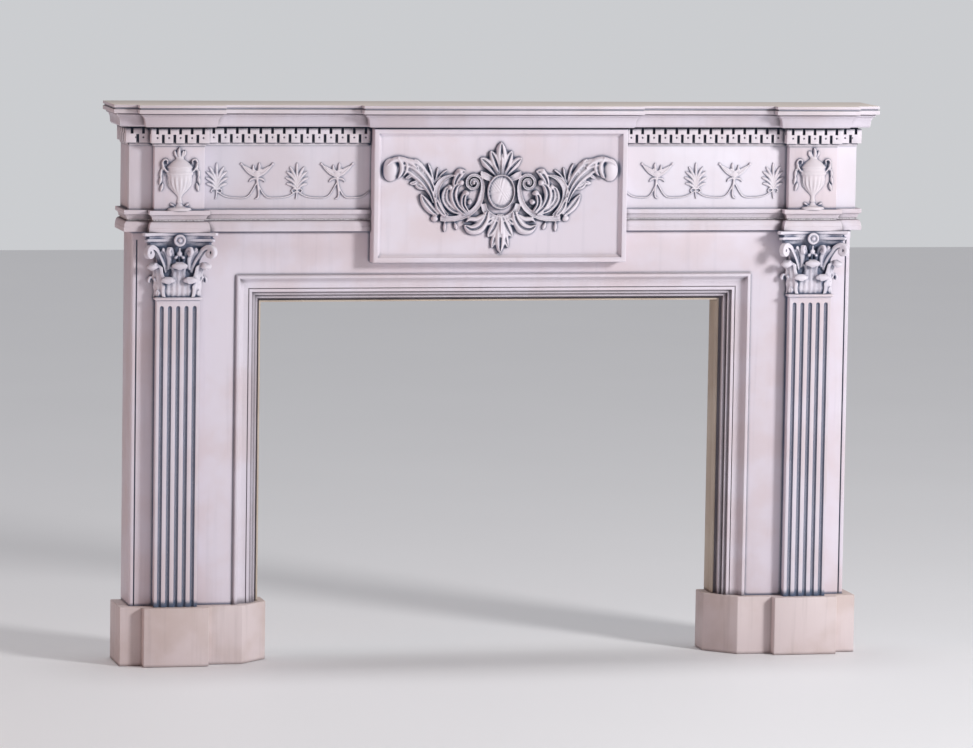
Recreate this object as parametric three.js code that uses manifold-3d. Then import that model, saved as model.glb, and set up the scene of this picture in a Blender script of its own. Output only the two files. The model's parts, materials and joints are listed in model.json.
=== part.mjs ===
// A neo-classical fireplace mantel of painted timber boards and mouldings, with cast
// ornament planted on them. Millimetres, +Z up. The front faces -Y, the wall is at +Y,
// and the origin lies on the floor under the middle of the mantel.

import * as THREE from 'three';
import { mergeVertices } from 'three/addons/utils/BufferGeometryUtils.js';
import Module from 'manifold-3d';

const wasm = await Module();
wasm.setup();

// Fit between pieces that touch, and the thickness of the boards
const gap = 0.3;
const mitreGap = gap * Math.SQRT2;
const boardThickness = 22;

// The opening, and the stepped moulding that splays back round it
const openingWidth = 1162;
const openingHeight = 887;
const openingMouldingWidth = 73;
const openingBeadRise = 8;
const openingSplayDepth = 50;
const openingFilletWidth = 7;
const openingGrooveDepth = 4;
const openingCoveWidth = 20;
const revealDepth = 50;
const revealThickness = 20;

// The legs: depth is measured from the wall to the face
const legDepth = 123;
const legFaceWidth = 256;
const cornerBeadRadius = 5;
const cornerQuirkWidth = 3.5;
const cornerBeadStop = 21;

// The fluted pilaster shafts
const pilasterInset = 110;
const pilasterWidth = 107;
const pilasterThickness = 32;
const fluteCount = 5;
const fluteSpacing = 20.3;
const fluteRadius = 5;
const fluteTopMargin = 13;
const astragalHeight = 9;
const astragalProjection = 5.5;

// The capitals
const capitalHeight = 158;
const abacusHalfWidth = 94;
const abacusThickness = 12;
const abacusHornDepth = 66;
const abacusMiddleDepth = 48;
const rosetteRadius = 15;

// The plinths
const plinthHeight = 145;
const plinthOverhang = 26;
const plinthProjection = 22;
const plinthPilasterWidth = 162;
const plinthPilasterProjection = 19;
const plinthInnerOverhang = 21;
const plinthSplay = 71;

// Header, architrave moulding and frieze, from the opening up
const headerHeight = 106;
const architraveHeight = 53;
const architraveProjection = 13;
const friezeStep = 4;
const friezeOverhang = 10;
const friezeHeight = 157;
const blockWidth = 124;
const blockThickness = 28;

// The fret-cut dentil band
const fretHeight = 46.7;
const fretBackingThickness = 2.5;
const fretToothProjection = 9.5;
const fretFootHeight = 7;
const fretHeadHeight = 4;
const fretPitch = 29;
const fretSlotWidth = 7;
const fretUpperSlot = 14;
const fretLowerSlot = 21;
const fretEndRib = 2;
const fretBite = 1.5;

// The crown moulding and the shelf
const crownHeight = 33;
const crownProjection = 45;
const crownTopInset = 8;
const crownFaceInset = 18;
const shelfThickness = 21;
const shelfTopFillet = 7;
const shelfGrooveHeight = 4;
const shelfGrooveDepth = 4;

// The tablet in the middle of the frieze
const tabletWidth = 640;
const tabletHeight = 330;
const tabletBottomDrop = 76;
const tabletBorderWidth = 20;
const tabletBorderRise = 12;
const tabletBevelWidth = 8;

// The ornament: sizes, heights of relief and spacing
const urnHeight = 155;
const urnRelief = 0.55;
const urnTrimRelief = 8;
const palmetteHeight = 66;
const palmetteHalf = 33;
const torchHeight = 80;
const festoonWidth = 5;
const innerTorchSpace = 85;
const friezeMotifs = 4;
const friezeRelief = 6;
const cartoucheHalfWidth = 297;
const cartoucheRelief = 20;
const cartoucheLift = 10;

// Places that follow from the sizes
const openingHalf = openingWidth / 2;
const legInner = openingHalf + openingMouldingWidth + gap;
const legOuter = openingHalf + openingMouldingWidth + legFaceWidth;
const legBack = legDepth - boardThickness;
const pilasterX = legOuter - pilasterInset;
const architraveBottom = openingHeight + openingMouldingWidth + headerHeight;
const friezeBottom = architraveBottom + architraveHeight;
const fretBottom = friezeBottom + friezeHeight;
const crownBottom = fretBottom + fretHeight + gap;
const shelfBottom = crownBottom + crownHeight + gap;
const capitalBottom = architraveBottom - capitalHeight;
const astragalBottom = capitalBottom - astragalHeight;
const friezeFace = legDepth + friezeStep;
const friezeBack = friezeFace - boardThickness;
const friezeHalf = legOuter + friezeOverhang;
const blockFace = friezeFace + blockThickness;
const blockInner = pilasterX - blockWidth / 2;
const blockOuter = pilasterX + blockWidth / 2;
const overallDepth = blockFace + crownProjection;
const tabletHalf = tabletWidth / 2;
const tabletCoreHalf = tabletHalf - tabletBorderRise;
const tabletBottom = architraveBottom - tabletBottomDrop;
const tabletMiddle = tabletBottom + tabletHeight / 2;

// Paint colours: body, shaded returns, bare shelf top
const colours = { paint: 0xddd6df, plinth: 0xd2c6c4, shelf: 0xddd3c4, ornament: 0xd9d5de };

const vec2 = (x, y) => new THREE.Vector2(x, y);
const vec3 = (x, y, z) => new THREE.Vector3(x, y, z);

// Closed bodies

// An indexed body whose faces are turned outwards if its volume comes out negative.
function closedBody(positions, index) {
  let volume = 0;
  const corner = (i) => vec3(positions[3 * i], positions[3 * i + 1], positions[3 * i + 2]);
  for (let i = 0; i < index.length; i += 3) {
    const [a, b, c] = [corner(index[i]), corner(index[i + 1]), corner(index[i + 2])];
    volume += a.dot(b.cross(c));
  }
  if (volume < 0) index.reverse();
  const geometry = new THREE.BufferGeometry();
  geometry.setAttribute('position', new THREE.Float32BufferAttribute(positions, 3));
  geometry.setIndex(index);
  return geometry;
}

// A skin over equal rings of points. The outline is one ring laid flat, for the two ends.
function loft(rings, outline, closed = false) {
  const size = rings[0].length;
  const index = [];
  const spans = closed ? rings.length : rings.length - 1;
  for (let ring = 0; ring < spans; ring++) {
    const next = (ring + 1) % rings.length;
    for (let i = 0; i < size; i++) {
      const j = (i + 1) % size;
      const [a, b] = [ring * size + i, ring * size + j];
      const [c, d] = [next * size + j, next * size + i];
      index.push(a, b, c, a, c, d);
    }
  }
  if (!closed) {
    const end = (rings.length - 1) * size;
    for (const [a, b, c] of THREE.ShapeUtils.triangulateShape(outline, [])) {
      const [first, last] = THREE.ShapeUtils.isClockWise(outline) ? [[a, b, c], [c, b, a]] : [[c, b, a], [a, b, c]];
      index.push(...first, ...last.map((i) => i + end));
    }
  }
  return closedBody(rings.flat().flatMap((p) => p.toArray()), index);
}

// Positions alone, with the shared corners merged and indexed.
function bareShape(geometry) {
  const bare = geometry.clone();
  bare.deleteAttribute('normal');
  bare.deleteAttribute('uv');
  return mergeVertices(bare);
}

function toSolid(geometry) {
  const bare = bareShape(geometry);
  const vertProperties = bare.attributes.position.array;
  const triVerts = new Uint32Array(bare.index.array);
  return new wasm.Manifold(new wasm.Mesh({ numProp: 3, vertProperties, triVerts }));
}

function toGeometry(solid) {
  const mesh = solid.getMesh();
  const geometry = new THREE.BufferGeometry();
  geometry.setAttribute('position', new THREE.BufferAttribute(mesh.vertProperties, 3));
  geometry.setIndex(new THREE.BufferAttribute(mesh.triVerts, 1));
  return geometry;
}

function joined(geometries) {
  return toGeometry(geometries.map(toSolid).reduce((sum, next) => sum.add(next)));
}

function cutBy(geometry, cutters) {
  return toGeometry(cutters.map(toSolid).reduce((rest, next) => rest.subtract(next), toSolid(geometry)));
}

// The same body reflected left for right, with its faces still outwards.
function mirrored(geometry) {
  const copy = bareShape(geometry).scale(-1, 1, 1);
  copy.setIndex(Array.from(copy.index.array).reverse());
  return copy;
}

// A box between two X, two distances from the wall and two heights.
function block([x0, x1], [back, front], [z0, z1]) {
  const geometry = new THREE.BoxGeometry(x1 - x0, front - back, z1 - z0);
  return geometry.translate((x0 + x1) / 2, -(back + front) / 2, (z0 + z1) / 2);
}

// Mouldings

// Stations of a path with the direction in which a moulding grows at each: square to the
// path at a free end, along the mitre at a corner.
function stations(path, growAtStart, growAtEnd) {
  const normals = path.slice(1).map((p, i) => {
    const step = p.clone().sub(path[i]).normalize();
    return vec2(-step.y, step.x);
  });
  return path.map((at, i) => {
    if (i === 0) return { at, grow: growAtStart ?? normals[0] };
    if (i === path.length - 1) return { at, grow: growAtEnd ?? normals[i - 1] };
    const sum = normals[i - 1].clone().add(normals[i]);
    return { at, grow: sum.divideScalar(1 + normals[i - 1].dot(normals[i])) };
  });
}

// The path lies in plan: X and distance from the wall. Profile points are offset and height.
const inPlan = (p, height) => vec3(p.x, -p.y, height);

// The path lies in the face: X and height. Profile points are offset and distance from the wall.
const inFace = (p, depth) => vec3(p.x, -depth, p.y);

function moulding(along, profile, place, closed = false) {
  const rings = along.map(({ at, grow }) =>
    profile.map(([offset, level]) => place(at.clone().addScaledVector(grow, offset), level)));
  return loft(rings, profile.map(([x, y]) => vec2(x, y)), closed);
}

// Points of a round stretch of a profile, by centre, half axes and angles in degrees.
function arc([cx, cy], [rx, ry], from, to, steps) {
  return Array.from({ length: steps + 1 }, (_, i) => {
    const angle = THREE.MathUtils.degToRad(from + ((to - from) * i) / steps);
    return [cx + rx * Math.cos(angle), cy + ry * Math.sin(angle)];
  });
}

// The broken-forward line of the frieze on the right, from the tablet to the outer corner.
function frontRun(tabletEdge) {
  return [
    ...tabletEdge,
    vec2(blockInner, friezeFace),
    vec2(blockInner, blockFace),
    vec2(blockOuter, blockFace),
    vec2(blockOuter, friezeFace),
    vec2(friezeHalf, friezeFace),
  ];
}

// The crown and the shelf also break forward over the tablet.
function wholeRun() {
  const right = frontRun([vec2(tabletCoreHalf, blockFace), vec2(tabletCoreHalf, friezeFace)]);
  const left = right.map((p) => vec2(-p.x, p.y)).reverse();
  return [...left, ...right];
}

const outward = vec2(1, 0);
const forward = vec2(0, 1);
const diagonal = vec2(1, 1);
const returnRun = [vec2(friezeHalf, friezeFace - mitreGap), vec2(friezeHalf, 0)];

function crownProfile() {
  const top = crownBottom + crownHeight;
  const face = crownProjection - crownFaceInset;
  const lip = crownProjection - crownTopInset;
  const coveTop = top - crownHeight * 0.15;
  return [
    [gap, crownBottom],
    [face - 3, crownBottom],
    [face, crownBottom + 4],
    ...arc([lip, crownBottom + 8], [lip - face, coveTop - crownBottom - 8], 180, 90, 3),
    [lip, top],
    [gap, top],
  ];
}

function crownFront() {
  return moulding(stations(wholeRun(), vec2(-1, 1), diagonal), crownProfile(), inPlan);
}

function crownReturn() {
  return moulding(stations(returnRun, diagonal, outward), crownProfile(), inPlan);
}

function architraveProfile() {
  const top = friezeBottom;
  const fillet = architraveHeight * 0.16;
  const lower = architraveBottom + architraveHeight * 0.24;
  return [
    [gap, architraveBottom],
    [architraveProjection, architraveBottom],
    [architraveProjection, lower],
    ...arc([3, lower], [architraveProjection - 4, architraveHeight * 0.3], 0, 90, 3),
    [3, top - fillet - 12],
    ...arc([architraveProjection - 1, top - fillet - 10], [architraveProjection - 5, 9], 180, 90, 3),
    [architraveProjection - 1, top],
    [gap, top],
  ];
}

function architraveFront() {
  const run = frontRun([vec2(tabletHalf + gap, friezeFace)]);
  return moulding(stations(run, forward, diagonal), architraveProfile(), inPlan);
}

function architraveReturn() {
  return moulding(stations(returnRun, diagonal, outward), architraveProfile(), inPlan);
}

// Three fillets step back from the bead on the leg face to the edge of the opening.
function openingProfile() {
  const bead = legDepth + openingBeadRise;
  const beadInner = openingMouldingWidth * 0.72;
  const coveInner = beadInner - openingCoveWidth;
  const faces = [1, 2, 3].map((step) => bead - openingBeadRise - 14 - (step - 1) * (openingSplayDepth - 14) / 2);
  const pitch = (coveInner - openingFilletWidth * 0.7) / 2;
  const points = [
    [openingMouldingWidth, legBack],
    [openingMouldingWidth, legDepth],
    [openingMouldingWidth - 3, bead - 2],
    [openingMouldingWidth - 7, bead],
    [beadInner, bead],
    ...arc([coveInner, bead - 1], [openingCoveWidth - 1, bead - 1 - faces[0]], 0, -90, 3),
  ];
  faces.slice(0, 2).forEach((face, i) => {
    const inner = coveInner - i * pitch - openingFilletWidth;
    const nextOuter = coveInner - (i + 1) * pitch;
    points.push([inner, face]);
    points.push([inner, faces[i + 1] - openingGrooveDepth]);
    points.push([nextOuter + 1, faces[i + 1] - openingGrooveDepth]);
    points.push([nextOuter, faces[i + 1]]);
  });
  points.push([0, faces[2]]);
  points.push([0, revealDepth]);
  points.push([revealThickness, revealDepth]);
  return points;
}

function openingMouldingSide() {
  const foot = vec2(openingHalf, plinthHeight + gap);
  const corner = vec2(openingHalf, openingHeight);
  return moulding([{ at: foot, grow: outward }, { at: corner, grow: diagonal }], openingProfile(), inFace);
}

function openingMouldingTop() {
  const left = vec2(mitreGap - openingHalf, openingHeight);
  const right = vec2(openingHalf - mitreGap, openingHeight);
  return moulding([{ at: left, grow: vec2(-1, 1) }, { at: right, grow: diagonal }], openingProfile(), inFace);
}

// Boards

function shelf() {
  const run = wholeRun();
  const path = [vec2(-friezeHalf, 0), ...run, vec2(friezeHalf, 0)];
  const layer = (projection, bottom, height) => {
    const edge = stations(path).map(({ at, grow }) => at.clone().addScaledVector(grow, projection));
    const shape = new THREE.Shape(edge.map((p) => vec2(p.x, -p.y)));
    const plate = new THREE.ExtrudeGeometry(shape, { depth: height, bevelEnabled: false });
    return plate.translate(0, 0, bottom);
  };
  const grooveTop = shelfBottom + shelfThickness - shelfTopFillet;
  const lower = layer(crownProjection, shelfBottom, shelfThickness - shelfTopFillet - shelfGrooveHeight);
  const core = layer(crownProjection - shelfGrooveDepth, shelfBottom, shelfThickness);
  const upper = layer(crownProjection, grooveTop, shelfTopFillet);
  return joined([core, lower, upper]);
}

function friezeBoard() {
  return block([-friezeHalf, friezeHalf], [friezeBack, friezeFace], [architraveBottom, shelfBottom - gap]);
}

function friezeEnd() {
  const heights = [architraveBottom, shelfBottom - gap];
  return block([friezeHalf - boardThickness, friezeHalf], [0, friezeBack - gap], heights);
}

function urnBlock() {
  return block([blockInner, blockOuter], [friezeFace + gap, blockFace], [architraveBottom, shelfBottom - gap]);
}

function headerBoard() {
  const heights = [openingHeight + openingMouldingWidth + gap, architraveBottom - gap];
  return block([gap - legInner, legInner - gap], [legBack, legDepth], heights);
}

// The outer corner of the leg face carries a bead with a quirk beside it. Both stop below
// the architrave, where the corner runs out square.
function legFace() {
  const foot = plinthHeight + gap;
  const stop = architraveBottom - cornerBeadStop;
  const board = block([legInner, legOuter], [legBack, legDepth], [foot, architraveBottom - gap]);
  const bead = cornerBeadRadius;
  const quirkOuter = legOuter - 2 * bead;
  const quirk = block(
    [quirkOuter - cornerQuirkWidth, quirkOuter], [legDepth - bead, legDepth + 1], [foot - 1, stop]);
  const corner = block([legOuter - bead, legOuter + 1], [legDepth - bead, legDepth + 1], [foot - 1, stop]);
  const round = new THREE.CylinderGeometry(bead, bead, stop - foot + 4, 16).rotateX(Math.PI / 2);
  round.translate(legOuter - bead, -(legDepth - bead), (stop + foot) / 2);
  return cutBy(board, [quirk, cutBy(corner, [round])]);
}

function legSide() {
  const heights = [plinthHeight + gap, architraveBottom - gap];
  return block([legOuter - boardThickness, legOuter], [0, legBack - gap], heights);
}

function revealSide() {
  const heights = [plinthHeight + gap, openingHeight + revealThickness];
  return block([openingHalf, openingHalf + revealThickness], [0, revealDepth - gap], heights);
}

function revealTop() {
  const heights = [openingHeight, openingHeight + revealThickness];
  return block([gap - openingHalf, openingHalf - gap], [0, revealDepth - gap], heights);
}

function plinth() {
  const inner = openingHalf - plinthInnerOverhang;
  const outer = legOuter + plinthOverhang;
  const face = legDepth + plinthProjection;
  const front = legDepth + pilasterThickness + plinthPilasterProjection;
  const half = plinthPilasterWidth / 2;
  const corners = [
    [inner, 0], [inner, face - plinthSplay], [inner + plinthSplay, face],
    [pilasterX - half, face], [pilasterX - half, front], [pilasterX + half, front],
    [pilasterX + half, face], [outer, face], [outer, 0],
  ];
  const shape = new THREE.Shape(corners.map(([x, depth]) => vec2(x, -depth)));
  return new THREE.ExtrudeGeometry(shape, { depth: plinthHeight, bevelEnabled: false });
}

// The border of the tablet is a flat with a bevel down to the field, mitred at its corners.
function tablet() {
  const z0 = tabletBottom;
  const z1 = tabletBottom + tabletHeight;
  const back = friezeFace + gap;
  const front = blockFace + tabletBorderRise;
  const inner = tabletBorderWidth;
  const border = [
    [0, back], [0, front - 2], [2, front], [inner - tabletBevelWidth, front],
    [inner - tabletBevelWidth + 1, front - 4], [inner, blockFace], [inner, back],
  ];
  const corner = (x, z) => ({ at: vec2(x * tabletHalf, z > 0 ? z1 : z0), grow: vec2(-x, -z) });
  const frame = moulding([corner(-1, -1), corner(1, -1), corner(1, 1), corner(-1, 1)], border, inFace, true);
  const core = block(
    [-tabletCoreHalf, tabletCoreHalf], [back, blockFace], [z0 + inner / 2, shelfBottom - gap]);
  const packing = block(
    [-tabletHalf, tabletHalf], [legDepth + gap, back + gap], [z0, architraveBottom - gap]);
  return joined([core, frame, packing]);
}

// The fret band

// A strip of fret-cut teeth along X with its foot at z = 0, facing -Y. Slots come down from
// the top and up from the bottom by turns. Solid stretches before and after run into corners.
function fretRun(length, before, after) {
  const height = fretHeight - fretFootHeight - fretHeadHeight;
  const margin = fretToothProjection + fretSlotWidth / 2 + fretEndRib;
  const count = Math.max(0, Math.round((length - 2 * margin) / fretPitch));
  const pitch = count > 0 ? (length - 2 * margin) / count : 0;
  const first = count > 0 ? margin : length / 2;
  const half = fretSlotWidth / 2;
  const outline = [[length + after, 0], [length + after, height]];
  for (let i = count; i >= 0; i--) {
    const x = first + i * pitch;
    outline.push([x + half, height], [x + half, height - fretUpperSlot]);
    outline.push([x - half, height - fretUpperSlot], [x - half, height]);
  }
  outline.push([-before, height], [-before, 0]);
  for (let i = 0; i < count; i++) {
    const x = first + (i + 0.5) * pitch;
    outline.push([x - half, 0], [x - half, fretLowerSlot], [x + half, fretLowerSlot], [x + half, 0]);
  }
  const shape = new THREE.Shape(outline.map(([x, z]) => vec2(x, z)));
  const depth = fretToothProjection - fretBackingThickness + fretBite;
  const strip = new THREE.ExtrudeGeometry(shape, { depth, bevelEnabled: false });
  return strip.rotateX(Math.PI / 2).translate(0, fretBite - fretBackingThickness, fretBottom + fretFootHeight);
}

function fretBacking(along) {
  const top = fretBottom + fretHeight;
  const profile = [[gap, fretBottom], [fretBackingThickness, fretBottom], [fretBackingThickness, top], [gap, top]];
  return moulding(along, profile, inPlan);
}

function fretFront() {
  const tooth = fretToothProjection;
  const tuck = tooth - fretBackingThickness;
  const start = tabletHalf + gap;
  const bay = fretRun(blockInner - tooth - start, 0, tuck).translate(start, -friezeFace, 0);
  const front = fretRun(blockWidth + 2 * tooth, 0, 0).translate(blockInner - tooth, -blockFace, 0);
  const wing = fretRun(friezeHalf - blockOuter, tuck, 0).translate(blockOuter + tooth, -friezeFace, 0);
  const side = fretRun(blockThickness, 0, tuck).rotateZ(Math.PI / 2);
  const outerSide = side.clone().translate(blockOuter, -blockFace - tooth, 0);
  const innerSide = mirrored(side).translate(blockInner, -blockFace - tooth, 0);
  const run = frontRun([vec2(start, friezeFace)]);
  const backing = fretBacking(stations(run, forward, forward));
  return joined([backing, bay, front, wing, outerSide, innerSide]);
}

function fretReturn() {
  const face = friezeFace + fretBackingThickness - fretBite - gap;
  const teeth = fretRun(face, 0, 0).rotateZ(Math.PI / 2).translate(friezeHalf, -face, 0);
  const run = [vec2(friezeHalf, friezeFace), vec2(friezeHalf, 0)];
  return joined([fretBacking(stations(run)), teeth]);
}

// Pilasters

function pilasterShaft() {
  const half = pilasterWidth / 2;
  const front = legDepth + pilasterThickness;
  const back = legDepth + gap;
  const top = capitalBottom - gap;
  const shaft = block([-half, half], [back, front], [plinthHeight + gap, top]);
  const neck = [vec2(-half, back), vec2(-half, front), vec2(half, front), vec2(half, back)];
  const middle = (astragalBottom + top) / 2;
  const nose = arc([1, middle], [astragalProjection - 1, (top - astragalBottom) / 2], -90, 90, 3);
  const astragal = moulding(stations(neck), [[-2, astragalBottom], ...nose, [-2, top]], inPlan);
  const fluteTop = astragalBottom - fluteTopMargin;
  const length = fluteTop - plinthHeight;
  const flutes = Array.from({ length: fluteCount }, (_, i) => {
    const flute = new THREE.CapsuleGeometry(fluteRadius, length, 2, 10).rotateX(Math.PI / 2);
    const x = (i - (fluteCount - 1) / 2) * fluteSpacing;
    return flute.translate(x, -front, fluteTop - fluteRadius - length / 2);
  });
  return cutBy(joined([shaft, astragal]), flutes).translate(pilasterX, 0, 0);
}

// A leaf that stands against the bell and rolls forward at its tip. It is made at X = 0,
// rising from z = 0 and facing -Y.
function rollingLeaf(width, height, roll) {
  const spine = [[0, 0, 0.8], [3, 0.6, 1], [0.45 * roll, 0.93, 0.92], [0.8 * roll, 1, 0.75], [roll, 0.86, 0.5]];
  const section = [[-1, -4], [-0.6, 2.5], [0.6, 2.5], [1, -4]];
  const rings = spine.map(([out, up, spread], i) => {
    const next = spine[Math.min(i + 1, spine.length - 1)];
    const last = spine[Math.max(i - 1, 0)];
    const run = vec2(next[0] - last[0], (next[1] - last[1]) * height).normalize();
    return section.map(([across, lift]) => {
      const y = -(out + lift * run.y);
      const z = Math.max(0, up * height - lift * run.x);
      return vec3((across * spread * width) / 2, y, z);
    });
  });
  return loft(rings, section.map(([x, y]) => vec2(x, y)));
}

// A stalk of square section through points of a vertical plane that runs out from (x, y)
// at an angle from straight ahead. It ends rolled up in a volute.
function stalk([x, y], heading, route, thickness, width) {
  const ahead = vec3(Math.sin(heading), -Math.cos(heading), 0);
  const across = vec3(Math.cos(heading), Math.sin(heading), 0);
  const curve = new THREE.SplineCurve(route.map(([out, up]) => vec2(out, up)));
  const section = [[-1, -1], [-1, 1], [1, 1], [1, -1]];
  const steps = route.length;
  const rings = Array.from({ length: steps + 1 }, (_, i) => {
    const t = i / steps;
    const p = curve.getPoint(t);
    const run = curve.getTangent(t);
    const taper = 1 - 0.5 * t;
    return section.map(([side, lift]) => {
      const out = p.x - (run.y * lift * taper * thickness) / 2;
      const up = p.y + (run.x * lift * taper * thickness) / 2;
      return vec3(x, y, up).addScaledVector(ahead, out).addScaledVector(across, (side * width) / 2);
    });
  });
  return loft(rings, section.map(([a, b]) => vec2(a, b)));
}

// The top plate: hollow sides and four cut-off horns, two of them in the board behind.
function abacusPlate(bottom) {
  const horn = abacusHalfWidth;
  const hornFront = -abacusHornDepth;
  const middle = -abacusMiddleDepth;
  const cut = abacusHalfWidth * 0.075;
  const root = horn * 0.8;
  const shape = new THREE.Shape([vec2(-root, -gap)]);
  shape.quadraticCurveTo(-root, hornFront * 0.6, -horn, hornFront + cut);
  shape.lineTo(cut - horn, hornFront);
  shape.quadraticCurveTo(-horn * 0.4, middle, 0, middle);
  shape.quadraticCurveTo(horn * 0.4, middle, horn - cut, hornFront);
  shape.lineTo(horn, hornFront + cut);
  shape.quadraticCurveTo(root, hornFront * 0.6, root, -gap);
  const plate = new THREE.ExtrudeGeometry(shape, { depth: abacusThickness, bevelEnabled: false, curveSegments: 3 });
  return plate.translate(0, 0, bottom);
}

function capital() {
  const height = capitalHeight - gap;
  const half = pilasterWidth / 2;
  const bellTop = height - abacusThickness + 1;
  const bell = loft([[0, 0, 0], [0.55, 0, 0], [0.8, 6, 6], [1, 16, 14]].map(([share, spread, lean]) => {
    const [side, front] = [half - 3 + spread, -(pilasterThickness - 2 + lean)];
    const z = share * bellTop;
    return [vec3(-side, -gap, z), vec3(-side, front, z), vec3(side, front, z), vec3(side, -gap, z)];
  }), [vec2(-1, 0), vec2(-1, -1), vec2(1, -1), vec2(1, 0)]);
  const abacus = abacusPlate(height - abacusThickness);
  const rosette = new THREE.CylinderGeometry(rosetteRadius * 0.55, rosetteRadius, 16, 8).rotateX(Math.PI / 2);
  rosette.translate(0, -(abacusMiddleDepth + 4), height - rosetteRadius - 1);
  const face = -(pilasterThickness - 4);
  const lowLeaf = rollingLeaf(pilasterWidth * 0.46, height * 0.31, 19);
  const tallLeaf = rollingLeaf(pilasterWidth * 0.42, height * 0.55, 26);
  const leafX = pilasterWidth * 0.245;
  const leaves = [-1, 1].map((side) => lowLeaf.clone().translate(side * leafX, face, 0));
  leaves.push(tallLeaf.clone().translate(0, face, 0));
  for (const side of [-1, 1]) {
    const turned = tallLeaf.clone().rotateZ((side * Math.PI) / 4);
    leaves.push(turned.translate(side * (half - 10), face + 4, 0));
  }
  const volute = [[0, 0.5], [0.24, 0.7], [0.5, 0.85], [0.73, 0.9], [0.86, 0.84], [0.8, 0.77], [0.68, 0.8]];
  const helix = [[0, 0.56], [0.11, 0.7], [0.26, 0.84], [0.44, 0.86], [0.38, 0.79]];
  const rise = (route) => route.map(([out, up]) => [out * abacusHornDepth, up * height]);
  const stalks = [-1, 1].flatMap((side) => [
    stalk([side * (half - 14), face + 6], side * 0.9, rise(volute), 11, 14),
    stalk([side * 12, face + 8], side * 0.5, rise(helix), 8, 11),
  ]);
  const behind = block([-2 * half, 2 * half], [-40, gap], [-1, height + 1]);
  return cutBy(joined([bell, abacus, rosette, ...leaves, ...stalks]), [behind]);
}

// Relief ornament: strands raised from a flat ground. They are drawn in the plane of the
// ground, across and up, and rise towards -Y.

const ridged = [[-1, 0], [0, 1], [1, 0]];
const rolled = [[-1, 0], [-0.55, 1], [0.55, 1], [1, 0]];

// Widths and heights along a strand, by the share of its length.
const petalSwell = (width) => (t) => width * Math.max(0.16, Math.sin(Math.PI * Math.min(0.94, 0.1 + 0.86 * t)));
const taperTo = (width, endShare) => (t) => width * (1 - (1 - endShare) * t);
const even = (size) => () => size;

function strand(points, width, rise, steps, section = ridged, closed = false) {
  const curve = closed
    ? new THREE.CatmullRomCurve3(points.map(([x, y]) => vec3(x, y, 0)), true)
    : new THREE.SplineCurve(points.map(([x, y]) => vec2(x, y)));
  const rings = Array.from({ length: closed ? steps : steps + 1 }, (_, i) => {
    const t = i / steps;
    const p = curve.getPointAt(t);
    const run = curve.getTangentAt(t);
    return section.map(([across, lift]) => {
      const reach = (across * width(t)) / 2;
      return vec3(p.x - run.y * reach, -lift * rise(t), p.y + run.x * reach);
    });
  });
  return loft(rings, section.map(([x, y]) => vec2(x, y)), closed);
}

const spiral = (centre, start, end, from, to, steps) =>
  arc(centre, [1, 1], from, to, steps).map(([x, y], i) => {
    const radius = start + ((end - start) * i) / steps;
    return [centre[0] + (x - centre[0]) * radius, centre[1] + (y - centre[1]) * radius];
  });

// A petal from a point, by its length and its angle from upright in degrees.
function petal([x, y], angle, length, width, rise, steps = 3) {
  const turn = THREE.MathUtils.degToRad(angle);
  const tip = [x + length * Math.sin(turn), y + length * Math.cos(turn)];
  return strand([[x, y], tip], petalSwell(width), petalSwell(rise), steps);
}

// A low dome with an oval or round foot.
function dome([x, y], [rx, ry], rise, sides) {
  const rings = [[1, 0], [0.85, 0.65], [0.35, 1]].map(([share, lift]) =>
    arc([x, y], [rx * share, ry * share], 0, 360 - 360 / sides, sides - 1)
      .map(([px, py]) => vec3(px, -lift * rise, py)));
  return loft(rings, arc([0, 0], [1, 1], 0, 360 - 360 / sides, sides - 1).map(([a, b]) => vec2(a, b)));
}

function bothSides(geometries) {
  return [...geometries, ...geometries.map(mirrored)];
}

// The cartouche is drawn on a grid that reaches 297 from its middle to the curl of its stem,
// and is brought to its own half width. Its relief isn't drawn to the grid.

// Half of the cartouche: the ring scroll, the long stem with its curl, and the leaves.
function cartoucheWing(rise) {
  const ring = arc([110, -16], [43, 46], 0, 330, 11);
  const curl = spiral([266, 50], 26, 9, 80, -215, 7);
  const stem = [[142, -34], [172, 8], [200, 36], [230, 62], ...curl];
  const stemWidth = (t) => (t < 0.3 ? 18 + 70 * t : Math.max(12, 39 - 38 * (t - 0.3)));
  const volute = spiral([72, 22], 17, 7, -150, 150, 6);
  const comma = [[38, -62], ...spiral([68, -84], 15, 6, 110, -160, 5)];
  return [
    strand(ring, even(15), even(rise * 0.8), 9, rolled, true),
    strand(stem, stemWidth, taperTo(rise * 0.85, 0.75), 10, rolled),
    strand([[32, -22], [48, -6], ...volute], taperTo(13, 0.7), even(rise * 0.8), 7),
    strand(comma, taperTo(15, 0.7), even(rise * 0.6), 6),
    strand([[40, -60], [84, -74], [147, -64], [168, -70]], taperTo(15, 0.7), even(rise * 0.5), 3),
    strand([[140, -66], [172, -44], [198, -8]], petalSwell(24), petalSwell(rise * 0.6), 3),
    dome([164, -70], [11, 11], rise * 0.5, 6),
    petal([158, 4], 12, 66, 15, rise * 0.6),
    petal([148, 14], 0, 48, 13, rise * 0.6, 2),
    petal([128, 22], -4, 36, 13, rise * 0.6, 2),
    petal([132, -62], 180, 38, 12, rise * 0.5, 2),
    petal([110, -66], 192, 30, 12, rise * 0.5, 2),
    petal([92, -2], 150, 44, 20, rise * 0.7, 2),
    petal([92, -2], 205, 48, 20, rise * 0.7, 2),
  ];
}

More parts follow.
